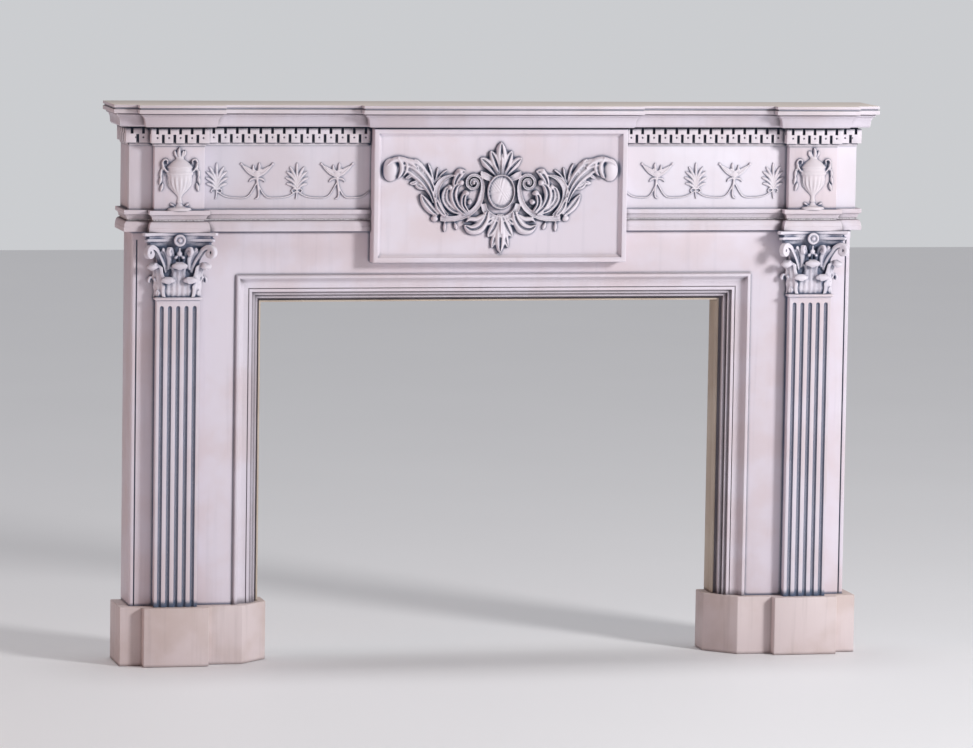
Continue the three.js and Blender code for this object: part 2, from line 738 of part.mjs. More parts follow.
function cartouche() {
  const size = cartoucheHalfWidth / 297;
  const rise = cartoucheRelief;
  const rim = arc([0, 0], [35, 41], 0, 330, 11);
  const crestBase = [0, 32];
  const dropBase = [0, -56];
  const middle = [
    dome([0, 0], [32, 38], rise * 0.95, 9),
    strand(rim, even(10), even(rise), 9, ridged, true),
    strand([[-46, -38], [-26, -62], [0, -70], [26, -62], [46, -38]], even(15), even(rise * 0.7), 6),
    petal(crestBase, 0, 90, 19, rise * 0.8),
    petal(dropBase, 180, 88, 22, rise * 0.7),
  ];
  const sides = bothSides([
    petal(crestBase, 23, 74, 17, rise * 0.75),
    petal(crestBase, 45, 64, 16, rise * 0.7),
    petal(dropBase, 205, 66, 20, rise * 0.65),
    ...cartoucheWing(rise),
  ]);
  return joined([...middle, ...sides]).scale(size, 1, size);
}

// Petals fan out from a boss, shorter and shorter towards the sides.
function palmette([x, y], rise) {
  const shares = [1, 0.8, 0.58, 0.44];
  const petalWidth = palmetteHeight * 0.136;
  const boss = palmetteHeight * 0.12;
  const fan = shares.flatMap((share, i) => {
    const angles = i === 0 ? [0] : [30 * i, -30 * i];
    return angles.map((angle) => petal([x, y], angle, share * palmetteHeight, petalWidth, rise, 2));
  });
  return [...fan, dome([x, y - boss / 4], [boss, boss], rise, 5)];
}

// A torch: a winged bowl with a flame, on a short stem. It is drawn 80 high.
function torch([x, y], rise) {
  const size = torchHeight / 80;
  const at = (points) => points.map(([dx, dy]) => [x + dx * size, y + dy * size]);
  const [leafFoot, flameFoot] = at([[0, 26], [0, 36]]);
  const arms = [-1, 1].flatMap((side) => [
    strand(at([[0, 34], [side * 22, 46], [side * 42, 70]]), petalSwell(12 * size), petalSwell(rise), 3),
    petal(leafFoot, side * 80, 18 * size, 7 * size, rise * 0.8, 2),
  ]);
  const stem = strand(at([[0, 44], [0, 10]]), taperTo(9 * size, 0.7), even(rise), 1);
  return [...arms, stem, petal(flameFoot, 0, 44 * size, 18 * size, rise * 1.2, 2)];
}

// Palmettes and torches by turns, hung together by festoons that run on to the tablet.
function friezeOrnament() {
  const rise = friezeRelief;
  const base = friezeBottom + friezeHeight * 0.29;
  const sag = -friezeHeight * 0.11;
  const outermost = blockInner - palmetteHalf - 1;
  const pitch = (outermost - tabletHalf - innerTorchSpace) / (friezeMotifs - 1);
  const places = Array.from({ length: friezeMotifs }, (_, i) => [outermost - i * pitch, base]);
  const motifs = places.flatMap((place, i) => (i % 2 === 0 ? palmette(place, rise) : torch(place, rise)));
  const hang = (i) => (i % 2 === 0 ? 0 : torchHeight * 0.2);
  const loops = places.map(([x, y], i) => {
    const end = i < places.length - 1 ? x - pitch : tabletHalf + 6;
    const inset = (x - end) * 0.23;
    const low = y + sag;
    const route = [[x, y + hang(i)], [x - inset, low], [end + inset, low], [end, y + hang(i + 1)]];
    return strand(route, even(festoonWidth), even(rise * 0.6), 4);
  });
  return joined([...motifs, ...loops]).translate(0, -friezeFace - gap, 0);
}

// The urn is drawn 155 high and brought to its own height.
function urn() {
  const size = urnHeight / 155;
  const profile = [[0, 0], [29, 0], [28, 5], [11, 9], [5, 17], [5, 34],
    [20, 52], [28, 68], [33, 91], [33, 104], [21, 119], [10, 127], [0, 134]];
  const body = new THREE.LatheGeometry(profile.map(([r, z]) => vec2(r, z)), 8);
  body.rotateX(Math.PI / 2).scale(1, urnRelief, 1);
  const rise = urnTrimRelief / size;
  const finial = strand([[0, 128], [-4, 137], [3, 146], [0, 155]], taperTo(8, 0.4), even(rise), 3);
  const husk = (t) => 7 + 3 * Math.sin(24 * t);
  const sides = bothSides([
    strand([[30, 98], [36, 104], [42, 113], [40, 122], [33, 120]], taperTo(7, 0.7), even(rise), 4),
    strand([[40, 122], [49, 104], [46, 84], [40, 62], [36, 40]], husk, even(rise), 7),
  ]);
  const behind = block([-80, 80], [-60, 0], [-5, 160]);
  return cutBy(joined([body, finial, ...sides]), [behind]).scale(size, size, size);
}

// Assembly. Inside the group the wall is the plane Y = 0 and pieces stand in front of it.

const mantel = new THREE.Group();
const standing = new THREE.Group();
standing.position.set(0, overallDepth / 2, 0);
mantel.add(standing);

function add(name, geometry, colour = colours.paint, position = [0, 0, 0]) {
  const material = new THREE.MeshStandardMaterial({ color: colour, roughness: 0.6, metalness: 0 });
  const mesh = new THREE.Mesh(geometry, material);
  mesh.name = name;
  mesh.position.set(...position);
  standing.add(mesh);
}

// A piece made on the right, and its mirror image on the left.
function addPair(name, geometry, colour = colours.paint, [x, y, z] = [0, 0, 0]) {
  add(`${name}_right`, geometry, colour, [x, y, z]);
  add(`${name}_left`, mirrored(geometry), colour, [-x, y, z]);
}

add('mantel_shelf', shelf(), colours.shelf);
add('crown_moulding_front', crownFront());
addPair('crown_moulding', crownReturn());
addPair('fret_band', fretFront());
addPair('fret_return', fretReturn());
add('frieze_board', friezeBoard());
addPair('frieze_end', friezeEnd());
addPair('urn_block', urnBlock());
addPair('architrave_moulding', architraveFront());
addPair('architrave_return', architraveReturn());
add('centre_tablet', tablet());
add('header_board', headerBoard());
addPair('leg_face', legFace());
addPair('leg_side', legSide());
addPair('reveal', revealSide());
add('reveal_top', revealTop());
addPair('opening_moulding', openingMouldingSide());
add('opening_moulding_top', openingMouldingTop());
addPair('pilaster_shaft', pilasterShaft());
addPair('plinth', plinth(), colours.plinth);
addPair('capital', capital(), colours.ornament, [pilasterX, -legDepth, capitalBottom]);
addPair('urn', urn(), colours.ornament, [pilasterX, -blockFace - gap, friezeBottom + gap]);
addPair('frieze_ornament', friezeOrnament(), colours.ornament);
add('tablet_cartouche', cartouche(), colours.ornament, [0, -blockFace - gap, tabletMiddle + cartoucheLift]);

export default mantel;
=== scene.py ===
# %% [markdown]
# # A painted fireplace mantel with cast ornament
# The real object is a joiner's mantel: flat boards and run mouldings, with cast leaves,
# urns and a cartouche planted on them, all under one antique white paint. The boards come
# from a measured frame. This lesson eases their edges, models the ornament in full
# relief, and builds the paint with its dark glaze, painted shade in the hollows and painted
# highlights on the edges from shader nodes.

# %% Load the measured frame
import json
import math

import bpy
import numpy as np
from mathutils import Matrix, Vector


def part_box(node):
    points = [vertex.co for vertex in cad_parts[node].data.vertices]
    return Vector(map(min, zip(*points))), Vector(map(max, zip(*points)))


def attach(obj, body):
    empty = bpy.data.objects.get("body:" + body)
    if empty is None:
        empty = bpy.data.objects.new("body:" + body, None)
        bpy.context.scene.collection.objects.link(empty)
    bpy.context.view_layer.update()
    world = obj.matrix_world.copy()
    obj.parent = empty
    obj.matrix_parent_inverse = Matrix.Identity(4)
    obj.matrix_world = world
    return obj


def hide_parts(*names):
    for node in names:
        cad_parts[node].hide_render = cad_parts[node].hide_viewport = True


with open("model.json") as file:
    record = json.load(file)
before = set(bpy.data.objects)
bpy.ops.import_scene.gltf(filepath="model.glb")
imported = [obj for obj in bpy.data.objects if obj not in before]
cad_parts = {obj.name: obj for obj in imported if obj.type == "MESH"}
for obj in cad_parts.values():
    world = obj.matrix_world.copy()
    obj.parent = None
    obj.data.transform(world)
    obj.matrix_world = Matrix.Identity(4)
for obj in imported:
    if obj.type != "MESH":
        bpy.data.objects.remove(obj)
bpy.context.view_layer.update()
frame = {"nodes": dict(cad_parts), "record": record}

MM = 0.001

# %% [markdown]
# ## Helpers for picking and editing
# An operator works on whatever is selected, so each helper starts by letting go of
# everything and picking one piece.

# %% Pick, edit and finish a piece
def pick(*pieces):
    bpy.ops.object.select_all(action="DESELECT")
    for piece in pieces:
        piece.select_set(True)
    bpy.context.view_layer.objects.active = pieces[0]


def edit(piece, *steps):
    pick(piece)
    bpy.ops.object.mode_set(mode="EDIT")
    bpy.ops.mesh.select_all(action="SELECT")
    for step in steps:
        step()
    bpy.ops.object.mode_set(mode="OBJECT")


def join(pieces):
    pick(*pieces)
    bpy.ops.object.join()
    return bpy.context.object


def apply_modifiers(piece):
    pick(piece)
    for modifier in list(piece.modifiers):
        bpy.ops.object.modifier_apply(modifier=modifier.name)


def corners_of(piece):
    spots = np.empty(len(piece.data.vertices) * 3)
    piece.data.vertices.foreach_get("co", spots)
    return spots.reshape(-1, 3)


def move_corners(piece, spots):
    piece.data.vertices.foreach_set("co", spots.ravel())


def mirrored_copy(piece):
    pick(piece)
    bpy.ops.object.duplicate()
    copy = bpy.context.object
    copy.data.transform(Matrix.Diagonal((-1, 1, 1, 1)))
    edit(copy, lambda: bpy.ops.mesh.flip_normals())
    return copy


def finish_piece(piece, name, slot, *nodes, angle=35, paint=None):
    piece.name = name
    piece.data.name = name
    pick(piece)
    bpy.ops.object.shade_smooth_by_angle(angle=math.radians(angle))
    piece.data.materials.clear()
    piece.data.materials.append(paint or finishes[slot])
    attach(piece, "root")
    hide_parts(*nodes)
    print(name, len(piece.data.polygons), "faces")


# %% [markdown]
# ## The paint
# The real finish is a lilac-white paint with a grey-blue glaze that was brushed on and
# wiped off, so it stays in every hollow and the raised edges come out clean. Here the glaze
# is also painted shade: it is laid darkest in the hollows, where the shade falls, and the
# proud edges get a colour lighter than the paint, which is painted highlight as well as
# clean wear. It could be painted by hand on a picture, but the hollows themselves can steer
# it: ambient occlusion finds them, and the same node turned inwards finds the proud edges.
# All the finishes share this effect, so it is built once as a node group. Reach says how
# wide a hollow may be, Depth how much glaze and painted shade gathers in it, Wear how clean
# the edges are and how bright their painted highlight is, and Top is the colour that faces
# turned upwards have aged to.

# %% Build the paint group with glaze, painted shade and painted highlights
def new_node(tree, kind, **settings):
    node = tree.nodes.new(kind)
    for key, value in settings.items():
        setattr(node, key, value)
    return node


def mix_colour(tree, factor, first, second):
    node = new_node(tree, "ShaderNodeMix", data_type="RGBA")
    tree.links.new(factor, node.inputs["Factor"])
    tree.links.new(first, node.inputs["A"])
    tree.links.new(second, node.inputs["B"])
    return node.outputs["Result"]


def maths(tree, operation, *values, clamp=False):
    node = new_node(tree, "ShaderNodeMath", operation=operation, use_clamp=clamp)
    for socket, value in zip(node.inputs, values):
        if isinstance(value, (int, float)):
            socket.default_value = value
        else:
            tree.links.new(value, socket)
    return node.outputs[0]


def ramp(tree, value, low, high):
    node = new_node(tree, "ShaderNodeMapRange", clamp=True, interpolation_type="SMOOTHSTEP")
    tree.links.new(value, node.inputs["Value"])
    node.inputs["From Min"].default_value = low
    node.inputs["From Max"].default_value = high
    return node.outputs["Result"]


def noise(tree, place, scale, detail, stretch=(1, 1, 1)):
    mapping = new_node(tree, "ShaderNodeMapping")
    mapping.inputs["Scale"].default_value = stretch
    tree.links.new(place, mapping.inputs["Vector"])
    node = new_node(tree, "ShaderNodeTexNoise")
    node.inputs["Scale"].default_value = scale
    node.inputs["Detail"].default_value = detail
    tree.links.new(mapping.outputs["Vector"], node.inputs["Vector"])
    return node.outputs["Fac"]


def paint_with_painted_light_group():
    tree = bpy.data.node_groups.new("paint_with_painted_light", "ShaderNodeTree")
    for name in ("Paint", "Tint", "Glaze and shade", "Edge wear and highlight", "Top"):
        tree.interface.new_socket(name, in_out="INPUT", socket_type="NodeSocketColor")
    for name in ("Reach", "Depth", "Wear and highlight", "Streaks", "Top share"):
        tree.interface.new_socket(name, in_out="INPUT", socket_type="NodeSocketFloat")
    tree.interface.new_socket("Colour", in_out="OUTPUT", socket_type="NodeSocketColor")
    for name in ("Roughness", "Height"):
        tree.interface.new_socket(name, in_out="OUTPUT", socket_type="NodeSocketFloat")
    given = new_node(tree, "NodeGroupInput").outputs
    result = new_node(tree, "NodeGroupOutput").inputs
    place = new_node(tree, "ShaderNodeTexCoord").outputs["Object"]

    cloud = noise(tree, place, scale=7, detail=5)
    brushed = noise(tree, place, scale=60, detail=4, stretch=(1, 1, 0.05))
    speck = noise(tree, place, scale=420, detail=3)
    patches = ramp(tree, cloud, 0.38, 0.66)
    colour = mix_colour(tree, patches, given["Paint"], given["Tint"])

    facing = new_node(tree, "ShaderNodeSeparateXYZ")
    tree.links.new(new_node(tree, "ShaderNodeNewGeometry").outputs["Normal"], facing.inputs["Vector"])
    upward = maths(tree, "MULTIPLY", ramp(tree, facing.outputs["Z"], 0.45, 0.8), given["Top share"])
    colour = mix_colour(tree, upward, colour, given["Top"])

    streak = maths(tree, "MULTIPLY", ramp(tree, brushed, 0.52, 0.72), given["Streaks"])
    colour = mix_colour(tree, streak, colour, given["Glaze and shade"])

    # Glaze and painted shade: the glaze colour is laid into the hollows that ambient occlusion finds, both
    # as real glaze and as the shade that falls there.
    hollow = new_node(tree, "ShaderNodeAmbientOcclusion", samples=8)
    tree.links.new(given["Reach"], hollow.inputs["Distance"])
    closed = ramp(tree, maths(tree, "SUBTRACT", 1.0, hollow.outputs["AO"]), 0.05, 0.42)
    uneven = maths(tree, "MULTIPLY_ADD", cloud, 0.5, 0.75)
    pooled_glaze_and_shade = maths(tree, "MULTIPLY", maths(tree, "MULTIPLY", closed, uneven), given["Depth"], clamp=True)
    colour = mix_colour(tree, pooled_glaze_and_shade, colour, given["Glaze and shade"])

    # The proud edges are mixed towards a colour lighter than the paint: partly clean wear, partly painted
    # highlight.
    proud = new_node(tree, "ShaderNodeAmbientOcclusion", samples=8, inside=True, only_local=True)
    proud.inputs["Distance"].default_value = 2.2 * MM
    rim_wear_and_highlight = ramp(tree, maths(tree, "SUBTRACT", 1.0, proud.outputs["AO"]), 0.34, 0.66)
    rim_wear_and_highlight = maths(tree, "MULTIPLY", rim_wear_and_highlight, ramp(tree, speck, 0.3, 0.6))
    rim_wear_and_highlight = maths(tree, "MULTIPLY", rim_wear_and_highlight, given["Wear and highlight"], clamp=True)
    colour = mix_colour(tree, rim_wear_and_highlight, colour, given["Edge wear and highlight"])

    tree.links.new(colour, result["Colour"])
    tree.links.new(maths(tree, "MULTIPLY_ADD", cloud, 0.25, 0.38), result["Roughness"])
    tree.links.new(maths(tree, "ADD", brushed, maths(tree, "MULTIPLY", speck, 0.35)), result["Height"])
    return tree


paint_with_painted_light = paint_with_painted_light_group()


# %% [markdown]
# ## Many finishes from one effect
# Every finish is the same paint in another state: the plinths are pinker, the shelf has
# yellowed to cream, the boards inside the opening show a tan undercoat, and the ornament
# holds the darkest glaze, partly glaze left thick in the carving and partly painted shade
# in its deep hollows. The first five are named for the material slots of the frame.

# %% Make the finishes
def linear(red, green, blue):
    def channel(value):
        value /= 255
        return value / 12.92 if value <= 0.04045 else ((value + 0.055) / 1.055) ** 2.4
    return (channel(red), channel(green), channel(blue), 1.0)


cream = linear(222, 208, 188)


def paint_finish(name, paint, tint, glaze_and_shade, edge_wear_and_highlight, reach, depth, wear_and_highlight, streaks, bump,
                 top=cream, top_share=0.12):
    material = bpy.data.materials.new(name)
    material.use_nodes = True
    tree = material.node_tree
    shader = tree.nodes["Principled BSDF"]
    group = new_node(tree, "ShaderNodeGroup", node_tree=paint_with_painted_light)
    values = {"Paint": paint, "Tint": tint, "Glaze and shade": glaze_and_shade, "Edge wear and highlight": edge_wear_and_highlight, "Reach": reach, "Depth": depth,
              "Wear and highlight": wear_and_highlight, "Streaks": streaks, "Top": top, "Top share": top_share}
    for key, value in values.items():
        group.inputs[key].default_value = value
    relief = new_node(tree, "ShaderNodeBump")
    relief.inputs["Strength"].default_value = bump
    relief.inputs["Distance"].default_value = 0.4 * MM
    tree.links.new(group.outputs["Height"], relief.inputs["Height"])
    tree.links.new(relief.outputs["Normal"], shader.inputs["Normal"])
    tree.links.new(group.outputs["Colour"], shader.inputs["Base Color"])
    tree.links.new(group.outputs["Roughness"], shader.inputs["Roughness"])
    shader.inputs["Specular IOR Level"].default_value = 0.35
    return material


# This dark colour is the real glaze and also the painted shade in the hollows.
blue_glaze_and_shade = linear(78, 92, 118)
# Each finish's edge colour, lighter than its paint, is worn edge and painted highlight together.
finishes = {
    "body_paint": paint_finish(
        "body_paint", linear(226, 218, 229), linear(221, 208, 215), blue_glaze_and_shade,
        linear(246, 243, 249), reach=9 * MM, depth=0.85, wear_and_highlight=0.9, streaks=0.05, bump=0.25),
    "plinth_paint": paint_finish(
        "plinth_paint", linear(219, 205, 206), linear(206, 189, 186), linear(120, 104, 104),
        linear(238, 230, 230), reach=9 * MM, depth=0.5, wear_and_highlight=0.9, streaks=0.12, bump=0.3),
    "shelf_paint": paint_finish(
        "shelf_paint", linear(224, 216, 226), linear(219, 208, 214), linear(104, 114, 136),
        linear(245, 241, 245), reach=8 * MM, depth=0.7, wear_and_highlight=0.8, streaks=0.05, bump=0.2,
        top=linear(224, 213, 202), top_share=0.85),
    "reveal_paint": paint_finish(
        "reveal_paint", linear(208, 194, 178), linear(196, 180, 164), linear(116, 102, 92),
        linear(224, 212, 198), reach=9 * MM, depth=0.7, wear_and_highlight=0.5, streaks=0.12, bump=0.3),
    # The ornament's near-black glaze is partly real glaze and partly painted shade in its hollows.
    "ornament_paint": paint_finish(
        "ornament_paint", linear(232, 225, 234), linear(222, 212, 221), linear(56, 70, 96),
        linear(252, 250, 254), reach=13 * MM, depth=1.1, wear_and_highlight=0.95, streaks=0.03, bump=0.2),
}
print("finishes by slot", list(finishes))

# %% [markdown]
# Some pieces hold the glaze and its painted shade in their own way. It lies deep between
# the leaves of the capitals and in the flutes, very dark in the slots of the fret, grey in
# the curved mouldings, and thin on the low relief and the board behind it; in all of these
# it is painted shade as well as glaze. The board's paint is also lighter, as painted light,
# and the crown's paint is darker than the rest, as painted shade. Each gets a variant with
# a glaze, a reach and a depth of its own.

# %% Make the variants
# Deep glaze and painted shade between the leaves of the capitals.
deep_paint = paint_finish(
    "deep_paint", linear(232, 226, 236), linear(214, 208, 220), linear(92, 102, 126),
    linear(252, 250, 254), reach=22 * MM, depth=1.15, wear_and_highlight=0.95, streaks=0.03, bump=0.2)
low_relief_paint = paint_finish(
    "low_relief_paint", linear(231, 225, 233), linear(225, 216, 223), linear(112, 122, 146),
    linear(248, 246, 250), reach=14 * MM, depth=0.85, wear_and_highlight=0.9, streaks=0.03, bump=0.2)
# The frieze board's paint is lighter than the body paint: painted light that offsets the shade on the
# board.
frieze_lightened_paint = paint_finish(
    "frieze_lightened_paint", linear(229, 224, 235), linear(224, 216, 225), linear(112, 122, 146),
    linear(250, 248, 252), reach=7 * MM, depth=0.6, wear_and_highlight=0.9, streaks=0.05, bump=0.25)
# Near-black glaze as painted shade in the slots of the fret.
fret_paint = paint_finish(
    "fret_paint", linear(228, 221, 230), linear(222, 212, 219), linear(58, 66, 86),
    linear(252, 250, 254), reach=13 * MM, depth=1.2, wear_and_highlight=0.9, streaks=0.03, bump=0.2)
# Grey glaze as painted shade in the curved mouldings.
moulding_paint = paint_finish(
    "moulding_paint", linear(224, 217, 228), linear(218, 206, 213), linear(122, 116, 124),
    linear(248, 245, 250), reach=20 * MM, depth=0.95, wear_and_highlight=0.9, streaks=0.05, bump=0.25)
# The crown's paint is darker than the body paint: painted shade.
crown_shaded_paint = paint_finish(
    "crown_shaded_paint", linear(213, 206, 218), linear(207, 196, 204), linear(122, 116, 124),
    linear(248, 245, 250), reach=20 * MM, depth=0.9, wear_and_highlight=0.9, streaks=0.05, bump=0.25)
# Strong glaze as painted shade in the flutes.
flute_paint = paint_finish(
    "flute_paint", linear(226, 218, 229), linear(221, 208, 215), linear(88, 102, 126),
    linear(246, 243, 249), reach=20 * MM, depth=1.4, wear_and_highlight=0.9, streaks=0.05, bump=0.25)

# %% [markdown]
# ## Boards and mouldings
# A painted board never has a knife-sharp corner. The boards of the frame have the right
# sizes but sharp corners, so each is copied, its loose triangles are merged into whole
# faces, and a narrow bevel eases its corners. Bevelling is kinder to the sizes than
# rounding by subdivision, because it keeps every face where it was measured.

# %% Ease the edges of the boards
def copy_of(node):
    piece = bpy.data.objects.new(node, frame["nodes"][node].data.copy())
    bpy.context.scene.collection.objects.link(piece)
    edit(piece,
         lambda: bpy.ops.mesh.remove_doubles(threshold=0.02 * MM),
         lambda: bpy.ops.mesh.dissolve_limited(angle_limit=math.radians(0.4)))
    return piece


def ease(piece, width):
    bevel = piece.modifiers.new("eased edges", "BEVEL")
    bevel.width = width
    bevel.segments = 2
    bevel.limit_method = "ANGLE"
    bevel.angle_limit = math.radians(28)
    apply_modifiers(piece)


slot_of = {part["node"]: part["material_slot"] for part in frame["record"]["subparts"]}
bevel_widths = {
    "mantel_shelf": 1.0, "crown_moulding_front": 0.6, "frieze_board": 1.2,
    "centre_tablet": 0.8, "reveal_top": 1.0,
}
for side in ("left", "right"):
    bevel_widths.update({
        f"crown_moulding_{side}": 0.6, f"frieze_end_{side}": 1.2, f"urn_block_{side}": 1.0,
        f"leg_side_{side}": 1.2, f"reveal_{side}": 1.0,
        f"pilaster_shaft_{side}": 0.8, f"plinth_{side}": 2.2, f"fret_return_{side}": 0.4,
    })
variants = {"pilaster_shaft": flute_paint, "crown_moulding": crown_shaded_paint,
            "fret_return": fret_paint, "frieze_board": frieze_lightened_paint}
for node, width in bevel_widths.items():
    board = copy_of(node)
    ease(board, width * MM)
    paint = next((paint for start, paint in variants.items() if node.startswith(start)), None)
    finish_piece(board, f"{node}.eased", slot_of[node], node, paint=paint)

# %% [markdown]
# ## The fret band
# The lower teeth of the fret each have a small drilled dimple in the middle, under the
# slot above. A row of little balls is pushed into the teeth and cut away by one boolean.
# From here on, places are in millimetres, across from the middle and forward from the
# wall, which lies 100 mm behind the middle.

# %% Drill the fret
WALL = 100
FRIEZE_FACE, BLOCK_FACE = 127, 155
TABLET_SIDE, FRIEZE_END = 320.3, 920


def drill(band, side):
    tooth_thickness, slot_width, end_rib, pitch = 9.5, 7, 2, 29
    radius, sunk = 2.6, 0.6
    band_foot, foot_height, half_tooth = 1276, 7, 13
    margin = tooth_thickness + slot_width / 2 + end_rib
    block_start, block_end = 728.5, 871.5
    runs = [(TABLET_SIDE, block_start, FRIEZE_FACE), (block_start, block_end, BLOCK_FACE),
            (block_end, FRIEZE_END, FRIEZE_FACE)]
    balls = []
    for start, stop, face in runs:
        toothed = (stop - start) - 2 * margin
        count = round(toothed / pitch)
        depth = WALL - (face + tooth_thickness) - sunk
        for i in range(count + 1):
            x = start + margin + i * toothed / count
            bpy.ops.object.select_all(action="DESELECT")
            bpy.ops.mesh.primitive_uv_sphere_add(
                segments=10, ring_count=6, radius=radius * MM,
                location=(side * x * MM, depth * MM, (band_foot + foot_height + half_tooth) * MM))
            bpy.ops.object.transform_apply(location=True, rotation=False, scale=False)
            balls.append(bpy.context.object)
    bit = join(balls)
    cut = band.modifiers.new("dimples", "BOOLEAN")
    cut.operation = "DIFFERENCE"
    cut.object = bit
    apply_modifiers(band)
    bpy.data.objects.remove(bit)


for side, sign in (("left", -1), ("right", 1)):
    node = f"fret_band_{side}"
    fret = copy_of(node)
    drill(fret, sign)
    ease(fret, 0.35 * MM)
    finish_piece(fret, f"{node}.drilled", "body_paint", node, paint=fret_paint)

# %% [markdown]
# ## The face frame
# The header and the two leg faces are glued into one frame and painted over, so no joint
# shows. The header is lengthened into the legs by half a millimetre and the three are
# united by a boolean, which leaves one flat face to paint.

# %% Unite the face frame
def united(*nodes, overlap=0.5 * MM):
    first, *others = [copy_of(node) for node in nodes]
    spots = corners_of(first)
    spots[:, 0] += np.sign(spots[:, 0]) * overlap
    move_corners(first, spots)
    for other in others:
        union = first.modifiers.new("glued", "BOOLEAN")
        union.operation = "UNION"
        union.object = other
    apply_modifiers(first)
    for other in others:
        bpy.data.objects.remove(other)
    edit(first, lambda: bpy.ops.mesh.dissolve_limited(angle_limit=math.radians(0.4)))
    return first


face_nodes = ("header_board", "leg_face_left", "leg_face_right")
face_frame = united(*face_nodes)
ease(face_frame, 0.8 * MM)
finish_piece(face_frame, "face_frame.eased", "body_paint", *face_nodes)

# %% [markdown]
# ## The run mouldings
# The moulding round the opening and the one under the frieze are run with a shaped knife:
# one profile, carried along the work and mitred at each corner. Curved parts need more
# points than the measured frame has, so both are run again here. A grid is added, wrapped
# round the path ring by ring, sewn together at its seam and closed at its ends. Around the
# opening it is one piece, because paint has filled the mitres, and its innermost faces
# show the tan of the boards inside the opening.

# %% Wrap a grid round a path
def skin(rings):
    rings = np.asarray(rings, float)
    levels, around = rings.shape[:2]
    bpy.ops.object.select_all(action="DESELECT")
    bpy.ops.mesh.primitive_grid_add(x_subdivisions=around, y_subdivisions=levels - 1, size=1)
    piece = bpy.context.object
    flat = corners_of(piece)
    column = np.rint((flat[:, 0] + 0.5) * around).astype(int) % around
    level = np.rint((flat[:, 1] + 0.5) * (levels - 1)).astype(int)
    move_corners(piece, rings[level, column] * MM)
    edit(piece,
         lambda: bpy.ops.mesh.remove_doubles(threshold=0.02 * MM),
         lambda: bpy.ops.mesh.fill_holes(sides=0),
         lambda: bpy.ops.mesh.normals_make_consistent(inside=False))
    return piece


def arc(centre, radii, first, last, count):
    angles = np.radians(np.linspace(first, last, count + 1))
    return [(centre[0] + radii[0] * math.cos(a), centre[1] + radii[1] * math.sin(a)) for a in angles]


def run_moulding(path, grows, profile, spot):
    rings = [[spot(x + offset * gx, y + offset * gy, level) for offset, level in profile]
             for (x, y), (gx, gy) in zip(path, grows)]
    return skin(rings)


# %% Run the moulding round the opening
opening_profile = (
    [(73, 101), (73, 123.6), (71.4, 124), (70, 129), (68, 130.7), (65.5, 131), (63.2, 130.4),
     (62, 128.8), (61.4, 126.6)]
    + arc((37.5, 127), (22, 17.5), 0, -90, 9)[1:]
    + [(36.6, 107), (35.6, 107), (35.4, 109.2), (34.8, 109.7), (28.6, 109.7), (28, 109.2), (27.6, 88),
       (19.4, 87.6), (19, 91.2), (18.4, 91.7), (12.2, 91.7), (11.6, 91.2), (11.2, 70), (4.8, 69.6),
       (4.4, 73.2), (3.8, 73.7), (0.6, 73.7), (0, 73.1), (0, 50), (20, 50), (20, 101)])
half, head, foot = 581, 887, 145.3
opening_path = [(-half, foot), (-half, head), (half, head), (half, foot)]
opening_grows = [(-1, 0), (-1, 1), (1, 1), (1, 0)]
in_face = lambda x, z, depth: (x, WALL - depth, z)
opening_moulding = run_moulding(opening_path, opening_grows, opening_profile, in_face)
finish_piece(opening_moulding, "opening_moulding.run", "body_paint",
             "opening_moulding_left", "opening_moulding_top", "opening_moulding_right", angle=30,
             paint=moulding_paint)
opening_moulding.data.materials.append(finishes["reveal_paint"])
tan_width = 4.6
for face in opening_moulding.data.polygons:
    inside = abs(face.center.x) < (half + tan_width) * MM and face.center.z < (head + tan_width) * MM
    face.material_index = 1 if inside else 0

# %% Run the moulding under the frieze
architrave_profile = (
    [(0.3, 1066), (12.4, 1066), (13, 1066.6), (13, 1076.4), (12.5, 1077)]
    + arc((4.4, 1077.4), (7.8, 15), 4, 84, 8)
    + [(1.6, 1093), (1.6, 1096.2), (4.2, 1096.6)]
    + arc((12, 1097), (7.6, 11.4), 180, 96, 8)
    + [(11.6, 1109), (12.2, 1109.5), (12.4, 1110), (12.4, 1118.4), (11.8, 1119), (0.3, 1119)])


def architrave_run():
    block_start, block_end = 738, 862
    plan = [(TABLET_SIDE, FRIEZE_FACE), (block_start, FRIEZE_FACE), (block_start, BLOCK_FACE),
            (block_end, BLOCK_FACE), (block_end, FRIEZE_FACE), (FRIEZE_END, FRIEZE_FACE), (FRIEZE_END, 0)]
    grows = [(0, 1), (-1, 1), (-1, 1), (1, 1), (1, 1), (1, 1), (1, 0)]
    in_plan = lambda x, depth, height: (x, WALL - depth, height)
    return run_moulding(plan, grows, architrave_profile, in_plan)


architrave = architrave_run()
architrave_left = mirrored_copy(architrave)
for side, piece in (("right", architrave), ("left", architrave_left)):
    finish_piece(piece, f"architrave_{side}.run", "body_paint", f"architrave_moulding_{side}",
                 f"architrave_return_{side}", angle=30, paint=moulding_paint)

# %% [markdown]
# ## How the ornament is modelled
# Cast ornament is a crowd of leaves, stems and scrolls that melt into each other where they
# meet. Each of them is one stroke: a grid is added, wrapped round a line as rings, sewn
# together at its seam and closed at its ends. The strokes are then joined and remeshed, so
# their crossings fill in softly as in a casting. Sculpting would give the same forms, but a
# stroke keeps its place and can be measured.

